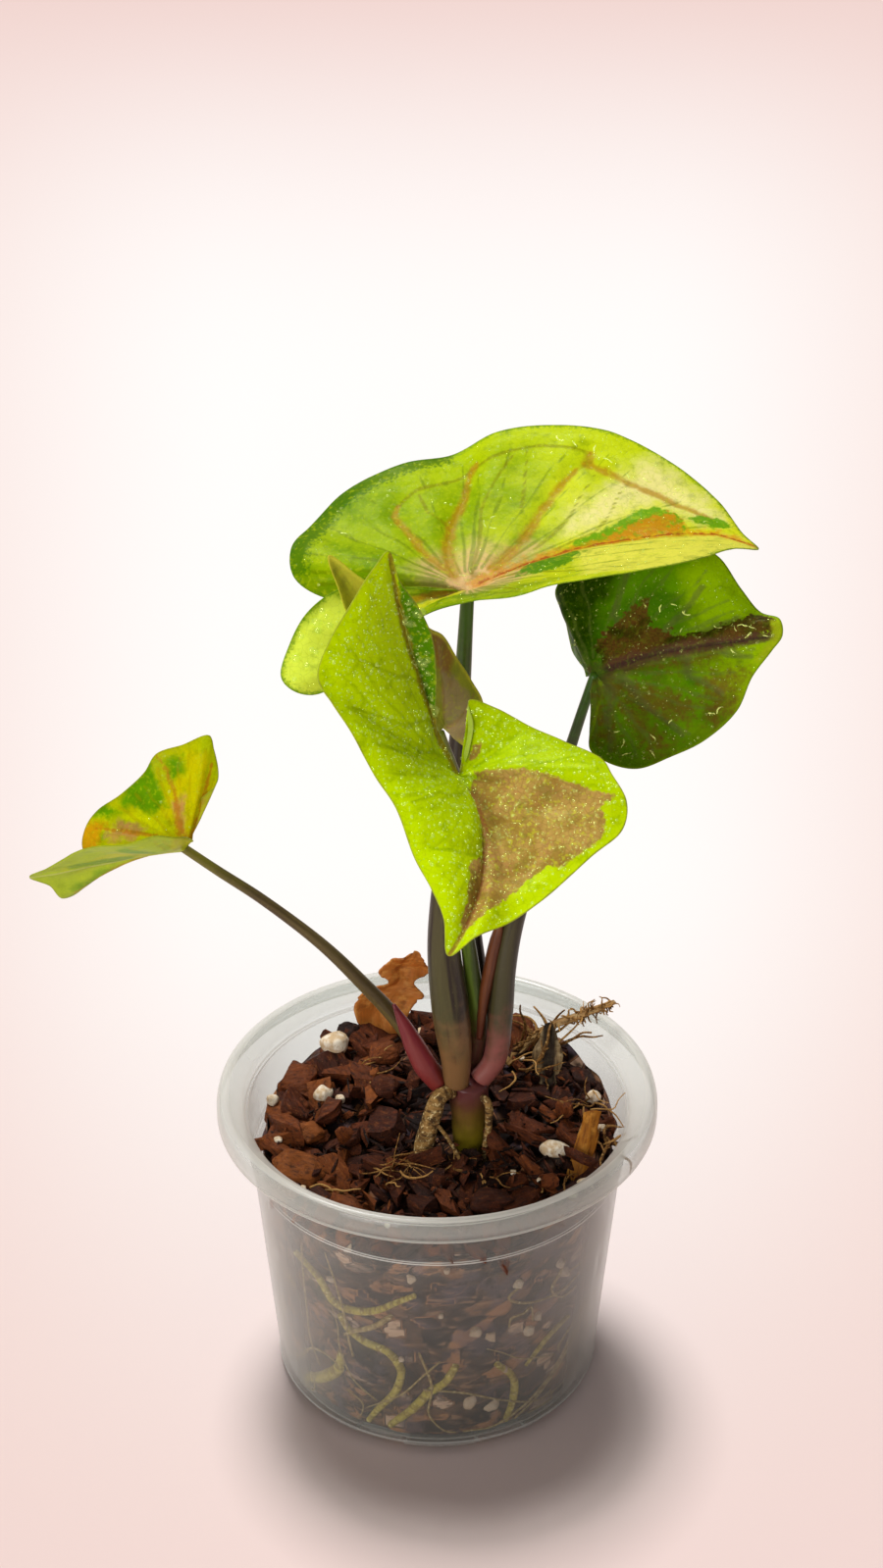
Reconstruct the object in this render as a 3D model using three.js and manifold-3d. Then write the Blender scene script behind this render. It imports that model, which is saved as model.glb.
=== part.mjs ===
// Potted brown lava syngonium: five leaves on one stem, in a clear nursery tub of bark mix.
// Millimetres, +Z up. The origin is the centre of the tub's flat base, and -Y faces the viewer.
import * as THREE from "three";
import { ConvexGeometry } from "three/addons/geometries/ConvexGeometry.js";
import { mergeVertices } from "three/addons/utils/BufferGeometryUtils.js";
import Module from "manifold-3d";

const wasm = await Module();
wasm.setup();

// Driving dimensions
const RIM_RADIUS = 55;
const POT_HEIGHT = 83.3;
const BASE_FLAT_RADIUS = 38;
const WALL = 0.8;
const FLOOR = 1.2;
const STEP_HEIGHT = 64.6;
const SKIRT_BOTTOM = 77.5;
const WALL_FOOT = { radius: 41.5, height: 3.6 };
const WALL_UNDER_STEP = 46.7;
const WALL_OVER_STEP = 47.3;
const WALL_TOP = 48.05;
const SEGMENTS = 48;
const GAP = 0.3;
const DRAIN = { count: 8, width: 13, depth: 9, height: 2.3, radius: 41, firstTurn: 0.42 };
const SOIL = { floorGap: 0.4, wallGap: 0.5, level: 69.5, riseBack: 0.12, riseRight: 0.05, bump: 1.1,
  edge: 45, footRadius: 37.3, footFlare: 1.2, sideHeights: [3.4, 20, 45], rings: 7, turns: 36 };
const LEAF_HALF_THICKNESS = 0.3;
const LEAF_ALONG = 38;
const LEAF_ACROSS = 4;
const TUBE_SIDES = 8;
const STEM_SIDES = 18;
const BARK_CORNERS = 16;
const PERLITE_CORNERS = 24;
const CHIP = { spiral: 2.4, turnJitter: 0.9, leastReach: 0.86, reachJitter: 0.28 };
const FLAKE_ACROSS = 4;
const STEPS_PER_SPAN = 3;

const group = new THREE.Group();

// Colours and finishes
const finish = (color, roughness) => new THREE.MeshStandardMaterial({ color, roughness, metalness: 0 });
const GLOSSY = 0.35;
const WAXY = 0.42;
const SATIN = 0.6;
const DRY = 0.85;
const LIME = 0xa9c21a;
const DARK_LEAF = 0x3f6a12;
const YELLOW_LEAF = 0xb9b41a;
const PETIOLE = 0x4a4627;
const MAROON = 0x5e2a2c;
const CRIMSON = 0x9c3141;
const BARK = 0x5b2f1b;
const PERLITE = 0xd8c9b4;
const STRAW = 0xb1905a;
const ORANGE_FLAKE = 0xa9632a;
const OLIVE_ROOT = 0x8d7f3f;
const SOIL_BROWN = 0x3a231a;
const MILKY = 0xd5dad8;

// Repeatable noise for chips and crumbs
function noise(seed) {
  const multiplier = 16807;
  const modulus = 2147483647;
  let state = seed * 7919 + 13;
  return () => {
    state = (state * multiplier) % modulus;
    return state / modulus;
  };
}

// Solids
function welded(geometry) {
  const bare = geometry.clone();
  for (const name of Object.keys(bare.attributes)) {
    if (name !== "position") bare.deleteAttribute(name);
  }
  const merged = mergeVertices(bare, 1e-4);
  const index = Array.from(merged.index.array);
  const kept = [];
  for (let i = 0; i < index.length; i += 3) {
    const [a, b, c] = index.slice(i, i + 3);
    if (a !== b && b !== c && c !== a) kept.push(a, b, c);
  }
  merged.setIndex(kept);
  return merged;
}

function signedVolume(geometry) {
  const p = geometry.attributes.position;
  const a = new THREE.Vector3();
  const b = new THREE.Vector3();
  const c = new THREE.Vector3();
  let sum = 0;
  for (let i = 0; i < geometry.index.count; i += 3) {
    a.fromBufferAttribute(p, geometry.index.getX(i));
    b.fromBufferAttribute(p, geometry.index.getX(i + 1));
    c.fromBufferAttribute(p, geometry.index.getX(i + 2));
    sum += a.dot(b.cross(c)) / 6;
  }
  return sum;
}

function outward(geometry) {
  if (signedVolume(geometry) > 0) return geometry;
  const index = Array.from(geometry.index.array);
  for (let i = 0; i < index.length; i += 3) [index[i], index[i + 1]] = [index[i + 1], index[i]];
  geometry.setIndex(index);
  return geometry;
}

function solid(geometry) {
  const body = outward(welded(geometry));
  const vertProperties = new Float32Array(body.attributes.position.array);
  const triVerts = new Uint32Array(body.index.array);
  return new wasm.Manifold(new wasm.Mesh({ numProp: 3, vertProperties, triVerts }));
}

function geometryOf(manifold) {
  const mesh = manifold.getMesh();
  const geometry = new THREE.BufferGeometry();
  geometry.setAttribute("position", new THREE.BufferAttribute(new Float32Array(mesh.vertProperties), 3));
  geometry.setIndex(Array.from(mesh.triVerts));
  return geometry;
}

function cutBy(geometry, others) {
  let body = solid(geometry);
  for (const other of others) body = body.subtract(solid(other));
  return geometryOf(body);
}

function add(name, geometry, color, roughness) {
  const body = geometry.index ? geometry : outward(welded(geometry));
  body.computeVertexNormals();
  const mesh = new THREE.Mesh(body, finish(color, roughness));
  mesh.name = name;
  group.add(mesh);
  return mesh;
}

const vector = ([x, y, z]) => new THREE.Vector3(x, y, z);
const curveThrough = (points) => new THREE.CatmullRomCurve3(points.map(vector));

function valueAt(list, t) {
  const place = t * (list.length - 1);
  const low = Math.min(Math.floor(place), list.length - 2);
  return THREE.MathUtils.lerp(list[low], list[low + 1], place - low);
}

// Moves the two end points of a run outward by grow
function spread(run, grow) {
  const moved = run.map((point) => [...point]);
  const last = run.length - 1;
  for (const [end, inner] of [[0, 1], [last, last - 1]]) {
    const out = vector(run[end]).sub(vector(run[inner])).setLength(grow);
    moved[end] = vector(run[end]).add(out).toArray();
  }
  return moved;
}

// A round stalk along a curve, its radius following a list from start to end
function stalk({ path, radii, steps = 20 }, grow = 0) {
  const curve = curveThrough(spread(path, grow));
  const section = new THREE.Shape();
  section.absarc(0, 0, 1, 0, 2 * Math.PI, false);
  const options = { steps, extrudePath: curve, curveSegments: TUBE_SIDES / 2 };
  const geometry = welded(new THREE.ExtrudeGeometry(section, options));
  const centres = curve.getSpacedPoints(steps);
  const p = geometry.attributes.position;
  const point = new THREE.Vector3();
  for (let i = 0; i < p.count; i += 1) {
    point.fromBufferAttribute(p, i);
    let nearest = 0;
    centres.forEach((centre, k) => {
      const offset = Math.abs(centre.distanceTo(point) - 1);
      if (offset < Math.abs(centres[nearest].distanceTo(point) - 1)) nearest = k;
    });
    const radius = valueAt(radii, nearest / steps) + grow;
    point.sub(centres[nearest]).multiplyScalar(radius).add(centres[nearest]);
    p.setXYZ(i, point.x, point.y, point.z);
  }
  return outward(geometry);
}

// A leaf blade: rays fan out from the junction to a margin, each bent at its middle
function blade({ junction, margin, bends }, half = LEAF_HALF_THICKNESS) {
  const centre = vector(junction);
  const edge = curveThrough(margin);
  const bend = curveThrough(bends);
  const points = [centre.clone()];
  for (let i = 0; i <= LEAF_ALONG; i += 1) {
    const end = edge.getPoint(i / LEAF_ALONG);
    const middle = centre.clone().add(end).multiplyScalar(0.5).add(bend.getPoint(i / LEAF_ALONG));
    const ray = new THREE.QuadraticBezierCurve3(centre, middle, end);
    for (let j = 1; j <= LEAF_ACROSS; j += 1) points.push(ray.getPoint(j / LEAF_ACROSS));
  }
  const at = (i, j) => (j === 0 ? 0 : 1 + i * LEAF_ACROSS + j - 1);
  const faces = [];
  for (let i = 0; i < LEAF_ALONG; i += 1) {
    faces.push([at(i, 0), at(i, 1), at(i + 1, 1)]);
    for (let j = 1; j < LEAF_ACROSS; j += 1) {
      faces.push([at(i, j), at(i, j + 1), at(i + 1, j + 1)], [at(i, j), at(i + 1, j + 1), at(i + 1, j)]);
    }
  }
  const border = [];
  for (let j = 0; j <= LEAF_ACROSS; j += 1) border.push(at(0, j));
  for (let i = 1; i <= LEAF_ALONG; i += 1) border.push(at(i, LEAF_ACROSS));
  for (let j = LEAF_ACROSS - 1; j >= 1; j -= 1) border.push(at(LEAF_ALONG, j));
  return thickened(points, faces, border, half);
}

// Gives an open sheet a thickness of twice half, with a wall round its border
function thickened(points, faces, border, half) {
  const sheet = new THREE.BufferGeometry().setFromPoints(points);
  sheet.setIndex(faces.flat());
  sheet.computeVertexNormals();
  const normal = new THREE.Vector3();
  const both = [];
  for (const side of [1, -1]) {
    points.forEach((point, k) => {
      normal.fromBufferAttribute(sheet.attributes.normal, k);
      both.push(point.clone().addScaledVector(normal, side * half));
    });
  }
  const under = points.length;
  const index = faces.flatMap(([a, b, c]) => [a, b, c, a + under, c + under, b + under]);
  border.forEach((a, k) => {
    const b = border[(k + 1) % border.length];
    index.push(a, a + under, b + under, a, b + under, b);
  });
  const body = new THREE.BufferGeometry().setFromPoints(both);
  body.setIndex(index);
  return outward(body);
}

// A crumb or chip: the hull of jittered points on a stretched ball
function chip({ at, lift, size, turn = [0, 0, 0], seed }, corners, grow = 0) {
  const random = noise(seed);
  const points = [];
  for (let i = 0; i < corners; i += 1) {
    const height = 1 - (2 * (i + 0.5)) / corners;
    const ring = Math.sqrt(1 - height * height);
    const angle = i * CHIP.spiral + random() * CHIP.turnJitter;
    const reach = CHIP.leastReach + random() * CHIP.reachJitter;
    const corner = [ring * Math.cos(angle), ring * Math.sin(angle), height];
    points.push(new THREE.Vector3(...corner.map((value, k) => value * reach * (size[k] / 2 + grow))));
  }
  const geometry = new ConvexGeometry(points);
  geometry.applyMatrix4(new THREE.Matrix4().makeRotationFromEuler(new THREE.Euler(...turn)));
  geometry.translate(at[0], at[1], soilTop(...at) + lift);
  return outward(welded(geometry));
}

// The tub: a turned wall with a stacking step, a rolled rim and drain slots in the foot
function wallRadius(height) {
  const t = (height - WALL_FOOT.height) / (STEP_HEIGHT - WALL_FOOT.height);
  return THREE.MathUtils.lerp(WALL_FOOT.radius, WALL_UNDER_STEP, t);
}

function pot() {
  const outline = [
    [0, 0],
    [BASE_FLAT_RADIUS, 0],
    [40.2, 0.7],
    [41.2, 2.2],
    [41.8, 2.9],
    [WALL_FOOT.radius, WALL_FOOT.height],
    [WALL_UNDER_STEP, STEP_HEIGHT - 0.4],
    [WALL_OVER_STEP, STEP_HEIGHT + 0.4],
    [WALL_TOP, SKIRT_BOTTOM - 0.3],
    [49.4, 79.6],
    [51.7, 81.6],
    [53.2, 82.2],
    [54.2, 81.2],
    [54.2, SKIRT_BOTTOM],
    [RIM_RADIUS, SKIRT_BOTTOM],
    [RIM_RADIUS, 80.6],
    [54.5, 82.5],
    [53.3, POT_HEIGHT],
    [52.1, 83.1],
    [51.1, 82.2],
    [48.7, 80],
    [WALL_TOP - WALL, SKIRT_BOTTOM + 0.2],
    [WALL_OVER_STEP - WALL, STEP_HEIGHT + 0.3],
    [WALL_UNDER_STEP - WALL, STEP_HEIGHT - 0.5],
    [WALL_FOOT.radius - WALL, WALL_FOOT.height + 0.6],
    [39.4, 1.9],
    [37.6, FLOOR],
    [0, FLOOR],
  ];
  const lathe = new THREE.LatheGeometry(outline.map(([r, z]) => new THREE.Vector2(r, z)), SEGMENTS);
  lathe.rotateX(Math.PI / 2);
  const slots = [];
  for (let i = 0; i < DRAIN.count; i += 1) {
    const slot = new THREE.BoxGeometry(DRAIN.depth, DRAIN.width, DRAIN.height * 2);
    slot.translate(DRAIN.radius, 0, 0);
    slot.rotateZ(DRAIN.firstTurn + (i / DRAIN.count) * 2 * Math.PI);
    slots.push(slot);
  }
  return cutBy(lathe, slots);
}

// The bark mix: a mound that fills the tub, hollowed round whatever is bedded in it
function soilTop(x, y) {
  const waves = Math.sin(x * 0.19 + 1.3) * Math.cos(y * 0.17) + 0.5 * Math.sin((x - y) * 0.31);
  return SOIL.level + SOIL.riseBack * y + SOIL.riseRight * x + SOIL.bump * waves;
}

function mound() {
  const { rings, turns, edge } = SOIL;
  const bottom = FLOOR + SOIL.floorGap;
  const points = [new THREE.Vector3(0, 0, bottom)];
  const reach = (z) => {
    const byWall = wallRadius(Math.max(z, WALL_FOOT.height)) - WALL - SOIL.wallGap;
    return Math.min(byWall, SOIL.footRadius + (z - bottom) * SOIL.footFlare);
  };
  const loops = [];
  const loop = (radiusAt, heightAt) => {
    const first = points.length;
    for (let i = 0; i < turns; i += 1) {
      const angle = (i / turns) * 2 * Math.PI;
      const radius = radiusAt(angle);
      const x = radius * Math.cos(angle);
      const y = radius * Math.sin(angle);
      points.push(new THREE.Vector3(x, y, heightAt(x, y)));
    }
    loops.push(first);
  };
  for (const z of [bottom, ...SOIL.sideHeights]) loop(() => reach(z), () => z);
  for (let k = rings; k >= 1; k -= 1) {
    loop((angle) => {
      const outer = reach(soilTop(edge * Math.cos(angle), edge * Math.sin(angle)));
      return (outer * k) / rings;
    }, soilTop);
  }
  const top = points.length;
  points.push(new THREE.Vector3(0, 0, soilTop(0, 0)));
  const index = [];
  for (let i = 0; i < turns; i += 1) {
    const next = (i + 1) % turns;
    index.push(0, loops[0] + next, loops[0] + i);
    for (let k = 0; k < loops.length - 1; k += 1) {
      const [a, b] = [loops[k] + i, loops[k] + next];
      const [c, d] = [loops[k + 1] + next, loops[k + 1] + i];
      index.push(a, b, c, a, c, d);
    }
    const last = loops[loops.length - 1];
    index.push(last + i, last + next, top);
  }
  const body = new THREE.BufferGeometry().setFromPoints(points);
  body.setIndex(index);
  return outward(body);
}

// Leaf blades: margin points from one side of the notch round the tip to the other side
const BLADES = {
  top: {
    color: LIME,
    junction: [7, 6, 216],
    margin: [
      [5.5, 10, 214], [-5.5, 12, 212.5], [-16.5, 11.5, 211], [-26, 11, 212], [-32.5, 12.5, 216],
      [-33.5, 19, 220.5], [-29, 27, 223], [-22, 35, 227.5], [-8, 41, 232.5], [4, 44, 233.5],
      [14, 47, 238], [26.5, 48, 239.5], [40.5, 45, 239], [54, 38, 234.5], [64.5, 29, 229],
      [70, 17.5, 225], [73, 11, 224], [66, 2, 228], [55.5, -9, 230], [44.5, -16, 231],
      [34, -19, 230.5], [25.5, -20, 229.5], [17, -18.5, 226], [7, -15.5, 223], [-2.5, -14.5, 219.5],
      [-14, -17, 211], [-25.5, -21, 203.5], [-31, -23, 205], [-34, -21, 207.5], [-32.5, -16, 212.5],
      [-28.5, -10, 218], [-21, -6, 222], [-10, -1, 220], [1, 2, 218],
    ],
    bends: [
      [0, 0, 0], [0, 0, 1], [0, 0, 3], [0, 0, 4], [0, 0, 4],
      [0, 0, 3], [0, 0, 2], [0, 0, 1], [0, 0, -1], [0, 0, -1],
      [0, 0, -2], [0, 0, -2], [0, 0, -1], [0, 0, 1], [0, 0, 4],
      [0, 1, 8], [0, 1, 10], [0, 0, 6], [0, 0, 2], [0, 0, 0],
      [0, 0, -1], [0, 0, -2], [0, 0, -2], [0, 0, -2], [0, 0, 0],
      [0, 0, 4], [0, 0, 6], [0, 0, 6], [0, 0, 5], [0, 0, 4],
      [0, 0, 2], [0, 0, 0], [0, 0, 0], [0, 0, 0],
    ],
  },
  front: {
    color: LIME,
    junction: [5, -36, 191],
    margin: [
      [2, -36, 192.5], [0.5, -36, 196.5], [0, -34, 206], [0, -32, 215], [-1, -31, 222.5],
      [-4, -31, 229.5], [-7.5, -32, 235.5], [-10, -33, 243], [-13, -36, 240.5], [-18, -41, 234],
      [-22, -45, 228], [-24.5, -48, 221], [-21.5, -50, 216], [-17.5, -52, 210], [-13, -55, 202],
      [-8.5, -59, 196.5], [-4.5, -65, 187.5], [-1, -69, 182.5], [1.5, -73, 178], [2.5, -78, 172],
      [8, -75, 174.5], [15.5, -69, 174.5], [23, -64, 177.5], [32.5, -57, 183], [39.5, -52, 187],
      [40.5, -48, 191.5], [37.5, -43, 195.5], [35.5, -38, 196.5], [27.5, -33, 198], [20.5, -29, 199.5],
      [13, -27, 203], [7, -28, 205.5], [8, -31, 201], [7, -34, 195.5],
    ],
    bends: [
      [0, 0, 0], [-1, 0, 0], [-6, 0, 0], [-7, 2, 0], [-7, 3, 0],
      [-7, 4, 0], [-6.5, 4, 0], [-6, 4, 0], [-6, 1, 0], [-4, -2, 0],
      [-2, -3, 0], [0, -3, 0], [0, -4, 0], [1, -5, 0], [2, -6, 1],
      [4, -6, 2], [7, -7, 3], [10, -6, 2], [11, -4, 1], [12, -2, 0],
      [10, 0, -1], [6, 1, -1], [3, 2, 0], [0, 3, 2], [0, 2, 3],
      [0, 1, 4], [0, 0, 4], [0, 0, 4], [0, 0, 3], [0, 0, 3],
      [0, 0, 2], [0, 0, 0], [0, 0, 0], [0, 0, 0],
    ],
  },
  right: {
    color: DARK_LEAF,
    junction: [36, 3, 196],
    margin: [
      [34.5, 5, 194.5], [34, 9, 195], [31.5, 14, 197], [30, 20, 202.5], [28, 25, 207.5],
      [35.5, 28, 213.5], [47, 27, 218], [57.5, 22, 221], [64.5, 17, 219.5], [69.5, 10, 214.5],
      [73.5, 5, 211], [77.5, 1, 211], [78, -1, 208], [75.5, -3, 205], [71, -7, 200.5],
      [67.5, -11, 194], [60, -15, 188.5], [52.5, -17, 185.5], [45, -18, 183], [38.5, -16, 183.5],
      [34.5, -13, 185.5], [36, -7, 190], [38, -1, 194], [37, 1, 196],
    ],
    bends: [
      [0, 0, 0], [0, 0, 0], [0, -1, 0], [0, -2, 1], [0, -2, 2],
      [0, -1, 2], [0, -1, 1], [0, -1, 1], [0, -1, 2], [0, -2, 3],
      [0, -3, 4], [0, -3, 4], [0, -3, 4], [0, -3, 3], [0, -4, 2],
      [0, -4, 2], [0, -4, 2], [0, -4, 2], [0, -3, 1], [0, -2, 1],
      [0, -1, 0], [0, 0, 0], [0, 0, 0], [0, 0, 0],
    ],
  },
  left: {
    color: YELLOW_LEAF,
    junction: [-59.5, 0, 151.5],
    margin: [
      [-58, 2, 152.5], [-57.5, 6, 156], [-56.5, 8, 160], [-52.5, 10, 163.5], [-52, 12, 166],
      [-53, 14, 171], [-54, 15, 174], [-60.5, 16, 171], [-67, 16, 168.5], [-70, 15, 164],
      [-76, 15, 158], [-82, 16, 153], [-85, 15, 149], [-86, 13, 145], [-84.5, 10, 140.5],
      [-86.5, 8, 135], [-90.5, 6, 134], [-93, 3, 139.5], [-97, 0, 143.5], [-92, -5, 149],
      [-84, -11, 157], [-78, -15, 161], [-70.5, -17, 163], [-64.5, -17, 165], [-60.5, -14, 163],
      [-58, -9, 160], [-57, -4, 156],
    ],
    bends: [
      [0, 0, 0], [0, 1, 0], [0, 2, -1], [0, 2, -1], [0, 2, -2],
      [0, 2, -2], [0, 2, -2], [0, 3, -2], [0, 3, -3], [0, 3, -2],
      [0, 3, -2], [0, 3, -1], [0, 2, -1], [0, 2, 0], [0, 1, 0],
      [0, 1, 1], [0, 0, 1], [0, 0, 1], [0, 0, 1], [0, 0, -1],
      [0, -1, -2], [0, -2, -3], [0, -2, -3], [0, -2, -3], [0, -1, -2],
      [0, 0, -1], [0, 0, 0],
    ],
  },
  young: {
    color: YELLOW_LEAF,
    junction: [1.5, -14, 191.5],
    margin: [
      [4, -12, 188.5], [7, -10, 184], [9, -8, 188], [10.5, -8, 194], [7.5, -7, 200],
      [4.5, -8.5, 206], [1.5, -11.5, 213], [-1.5, -16, 217], [-5.5, -21.5, 223], [-10.5, -26, 229.5],
      [-16.5, -29, 235.5], [-22.5, -31, 241], [-20.5, -31, 233], [-17.5, -30.5, 224], [-12.5, -29.5, 214.5],
      [-7.5, -27, 204.5], [-3, -22, 196], [0, -17, 191],
    ],
    bends: [
      [0, 0, 0], [0, -2, 0], [0, -3, 0], [0, -4, 0], [0, -4, 0],
      [0, -3, 0], [0, -1, 0], [0, 0, 0], [0, 1, 0], [0, 1, 0],
      [0, 2, 0], [0, 2, 0], [0, 2, 0], [0, 2, 0], [0, 2, 0],
      [0, 1, 0], [0, 1, 0], [0, 0, 0],
    ],
  },
};

// Petioles from the crown up to each blade's junction
const PETIOLES = {
  top: {
    path: [[4.7, -2.5, 85.4], [4.7, -2.5, 93], [3.2, -2, 108], [1.7, -2, 124], [1.8, -1.8, 136],
      [3.6, -0.5, 158], [5.6, 3, 188], [7, 5.9, 214.9]],
    radii: [3.2, 4.5, 3.8, 3.3, 2.9, 2.3, 1.9, 1.5],
    steps: 26,
    color: PETIOLE,
  },
  right: {
    path: [[10.8, -0.4, 85.4], [14.2, -0.1, 91], [15.6, 0.5, 104], [16.5, 1, 117], [18.6, 2, 130],
      [26.5, 2, 160], [32.6, 1.6, 184], [35.6, 2.6, 194.4]],
    radii: [1.9, 2.6, 2.4, 2.2, 2, 1.6, 1.3, 1.1],
    steps: 24,
    color: PETIOLE,
  },
  left: {
    path: [[2.6, 1.4, 82], [-3.4, 2.6, 90], [-10.1, 3, 101], [-18, 2.6, 111.5], [-28, 2, 123.5],
      [-42, 1, 137], [-52, 0.2, 145.3], [-59.1, 0, 151.1]],
    radii: [1.6, 2.1, 1.9, 1.7, 1.45, 1.3, 1.2, 1.1],
    steps: 24,
    color: PETIOLE,
  },
  front: {
    path: [[8.4, 3.8, 85.4], [10, 3, 100], [8.4, 1, 117], [6.6, -5, 136], [5.4, -17, 161],
      [5, -30, 181.5], [5, -35.6, 190.5]],
    radii: [1.9, 1.6, 1.4, 1.3, 1.25, 1.2, 1.1],
    steps: 24,
    color: PETIOLE,
  },
  young: {
    path: [[11.4, 4.2, 85.4], [11.6, 5.4, 105], [9.6, 5.6, 122], [8.4, 2, 141], [7.2, -4, 158],
      [5, -9.5, 175], [0.9, -13.4, 189.8]],
    radii: [1.5, 1.3, 1.2, 1.1, 1.05, 1, 0.9],
    steps: 22,
    color: PETIOLE,
  },
};

// The stem stands in the bark, with a collar where the petioles leave it
const STEM = {
  x: 8,
  y: -1,
  profile: [[0, 56], [3.4, 56], [3.9, 66], [4, 73], [4.5, 74], [4.3, 80.5], [5, 82.6], [4.9, 83.8],
    [4.3, 85], [0, 85]],
};

function stem(grow = 0) {
  const outline = STEM.profile.map(([r, z], k) => {
    const end = k < 2 ? -grow : k > STEM.profile.length - 3 ? grow : 0;
    return new THREE.Vector2(r === 0 ? 0 : r + grow, z + end);
  });
  const turned = new THREE.LatheGeometry(outline, STEM_SIDES);
  turned.rotateX(Math.PI / 2);
  turned.translate(STEM.x, STEM.y, 0);
  return outward(welded(turned));
}

// Sheaths and roots at the crown
const CATAPHYLL = {
  path: [[-10.6, -0.6, 107.6], [-8, -1.2, 102], [-5.2, -2, 95.5], [-2.4, -3, 90], [0.2, -3.6, 85.6]],
  radii: [0.35, 1.2, 2, 2.4, 1.6],
  steps: 10,
};
const RIGHT_SHEATH = {
  path: [[10.4, 0.2, 97], [11.2, 0.2, 106], [12.6, 0.4, 116], [14.4, 1, 126], [16.2, 1.4, 134]],
  radii: [0.7, 1.3, 1.6, 1.6, 0.5],
  steps: 10,
};
const AERIAL_ROOT = {
  path: [[3.6, -4, 84], [0.6, -7, 84.5], [-1.2, -8.6, 80], [-2.8, -9.8, 74], [-4, -11.4, 67.5],
    [-4.6, -12.6, 62]],
  radii: [1.6, 2.3, 2.5, 2.6, 2.4, 2.1],
  steps: 12,
};
const SIDE_ROOT = {
  path: [[10, -3.6, 82.5], [12.4, -5.6, 82], [12.9, -6.8, 77], [12.2, -7, 71], [11.6, -7.2, 64]],
  radii: [0.9, 1, 0.85, 0.75, 0.7],
  steps: 12,
};
const THREAD_ROOT = {
  path: [[-1, -9.4, 79], [1.6, -11.4, 77], [4.6, -12.6, 72], [7, -13, 66], [7.8, -13.2, 61]],
  radii: [0.5, 0.5, 0.5, 0.45, 0.4],
  steps: 12,
};

// Roots along the inside of the wall: turn from the front in degrees, and height
const ROOT_TAPER = [0.8, 1, 1, 0.7];
const ROOT_WALL_ROOM = 0.25;
const WALL_ROOTS = [
  { run: [[-54, 51], [-43, 48.5], [-36, 42.5], [-28, 42.5], [-20, 45], [-13, 49], [-7, 52]], radius: 0.95 },
  { run: [[-34.5, 39], [-31, 35], [-24, 32.6], [-17, 31.5], [-12.6, 26], [-14.5, 18.5], [-22, 10], [-26, 5]],
    radius: 1.05 },
  { run: [[-58, 6], [-46, 12.5], [-38, 19], [-36, 25]], radius: 1.7 },
  { run: [[6.5, 28], [3, 22.6], [-3, 18.6], [-8, 13.2], [-17.5, 5.2]], radius: 1.15 },
  { run: [[21, 26.4], [28, 19.4], [28.4, 11], [26, 5]], radius: 1 },
  { run: [[52, 31], [41, 28.4], [32.5, 22.5]], radius: 0.6 },
];

function wallRoot({ run, radius }) {
  const clear = radius + GAP + WALL + ROOT_WALL_ROOM;
  const path = run.map(([turn, z]) => {
    const angle = THREE.MathUtils.degToRad(turn);
    const reach = wallRadius(z) - clear;
    return [reach * Math.sin(angle), -reach * Math.cos(angle), z];
  });
  return { path, radii: ROOT_TAPER.map((part) => part * radius), steps: STEPS_PER_SPAN * (run.length - 1) };
}

// Loose pieces half bedded in the mix. at is the centre in plan, lift its height over the surface
const CHIPS = {
  bark_disc: { at: [-36, 18.6], lift: 2, size: [11, 10, 4.6], turn: [0.35, -0.15, 0], seed: 3 },
  bark_block_left: { at: [-36, 7], lift: 2.2, size: [9, 7, 5.5], turn: [0.2, 0.1, 0.5], seed: 5 },
  bark_block_tan: { at: [-31.9, -2.7], lift: 2, size: [8, 7.5, 5.5], turn: [0.1, 0.2, 0.2], seed: 7 },
  bark_grained: { at: [-33.6, -13.4], lift: 2, size: [16, 12, 6], turn: [0.2, 0.1, -0.3], seed: 9 },
  bark_stick: { at: [-22.6, -4.8], lift: 2.6, size: [4.5, 5, 12], turn: [0.6, -0.4, 0], seed: 11 },
  bark_centre_left: { at: [-13.5, 13.7], lift: 2, size: [9, 8, 6], turn: [0.2, 0.4, 0.1], seed: 23 },
  bark_back: { at: [-13.7, 26], lift: 2.2, size: [11, 8, 6], turn: [0.1, 0.2, 0.6], seed: 25 },
  bark_back_right: { at: [16, 33.6], lift: 2.4, size: [11, 8, 6], turn: [0.2, 0, 0.3], seed: 27 },
  bark_dark_back: { at: [-23.4, 35], lift: 2.2, size: [8.4, 5.6, 5.6], turn: [0, -0.2, 0.3], seed: 13 },
  bark_dark_right: { at: [37.4, 15], lift: 1.8, size: [9, 5, 4.5], turn: [0.2, 0.2, -0.6], seed: 15 },
  bark_red_right: { at: [32, 1.6], lift: 2.8, size: [4.5, 6, 13], turn: [0.9, 0.2, 0], seed: 17 },
  bark_front: { at: [13, -28.2], lift: 2, size: [13, 9, 6], turn: [0.2, 0, 0.3], seed: 19 },
  bark_front_slip: { at: [27.2, -22.6], lift: 2.4, size: [4, 5, 11], turn: [0.8, 0.4, 0.3], seed: 21 },
  bark_front_left: { at: [-22, -28], lift: 1.6, size: [11, 6, 4.6], turn: [0.1, 0.15, -0.5], seed: 29 },
  perlite_large: { at: [-26.6, 28.2], lift: 3.4, size: [8.6, 8.2, 8], seed: 31 },
  perlite_small: { at: [-29.2, 12.4], lift: 2.6, size: [6.2, 6, 6], seed: 33 },
  perlite_right: { at: [29, -11], lift: 2.2, size: [9, 6, 5.6], turn: [0, 0, -0.2], seed: 35 },
  perlite_grey: { at: [39.6, 7.6], lift: 1.6, size: [5, 4.6, 4.4], seed: 37 },
  perlite_edge: { at: [-42, 10.6], lift: 1.6, size: [4.2, 3.8, 4], seed: 39 },
  perlite_rim: { at: [36.4, -21.6], lift: 1.6, size: [5, 4, 4], seed: 41 },
};

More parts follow.
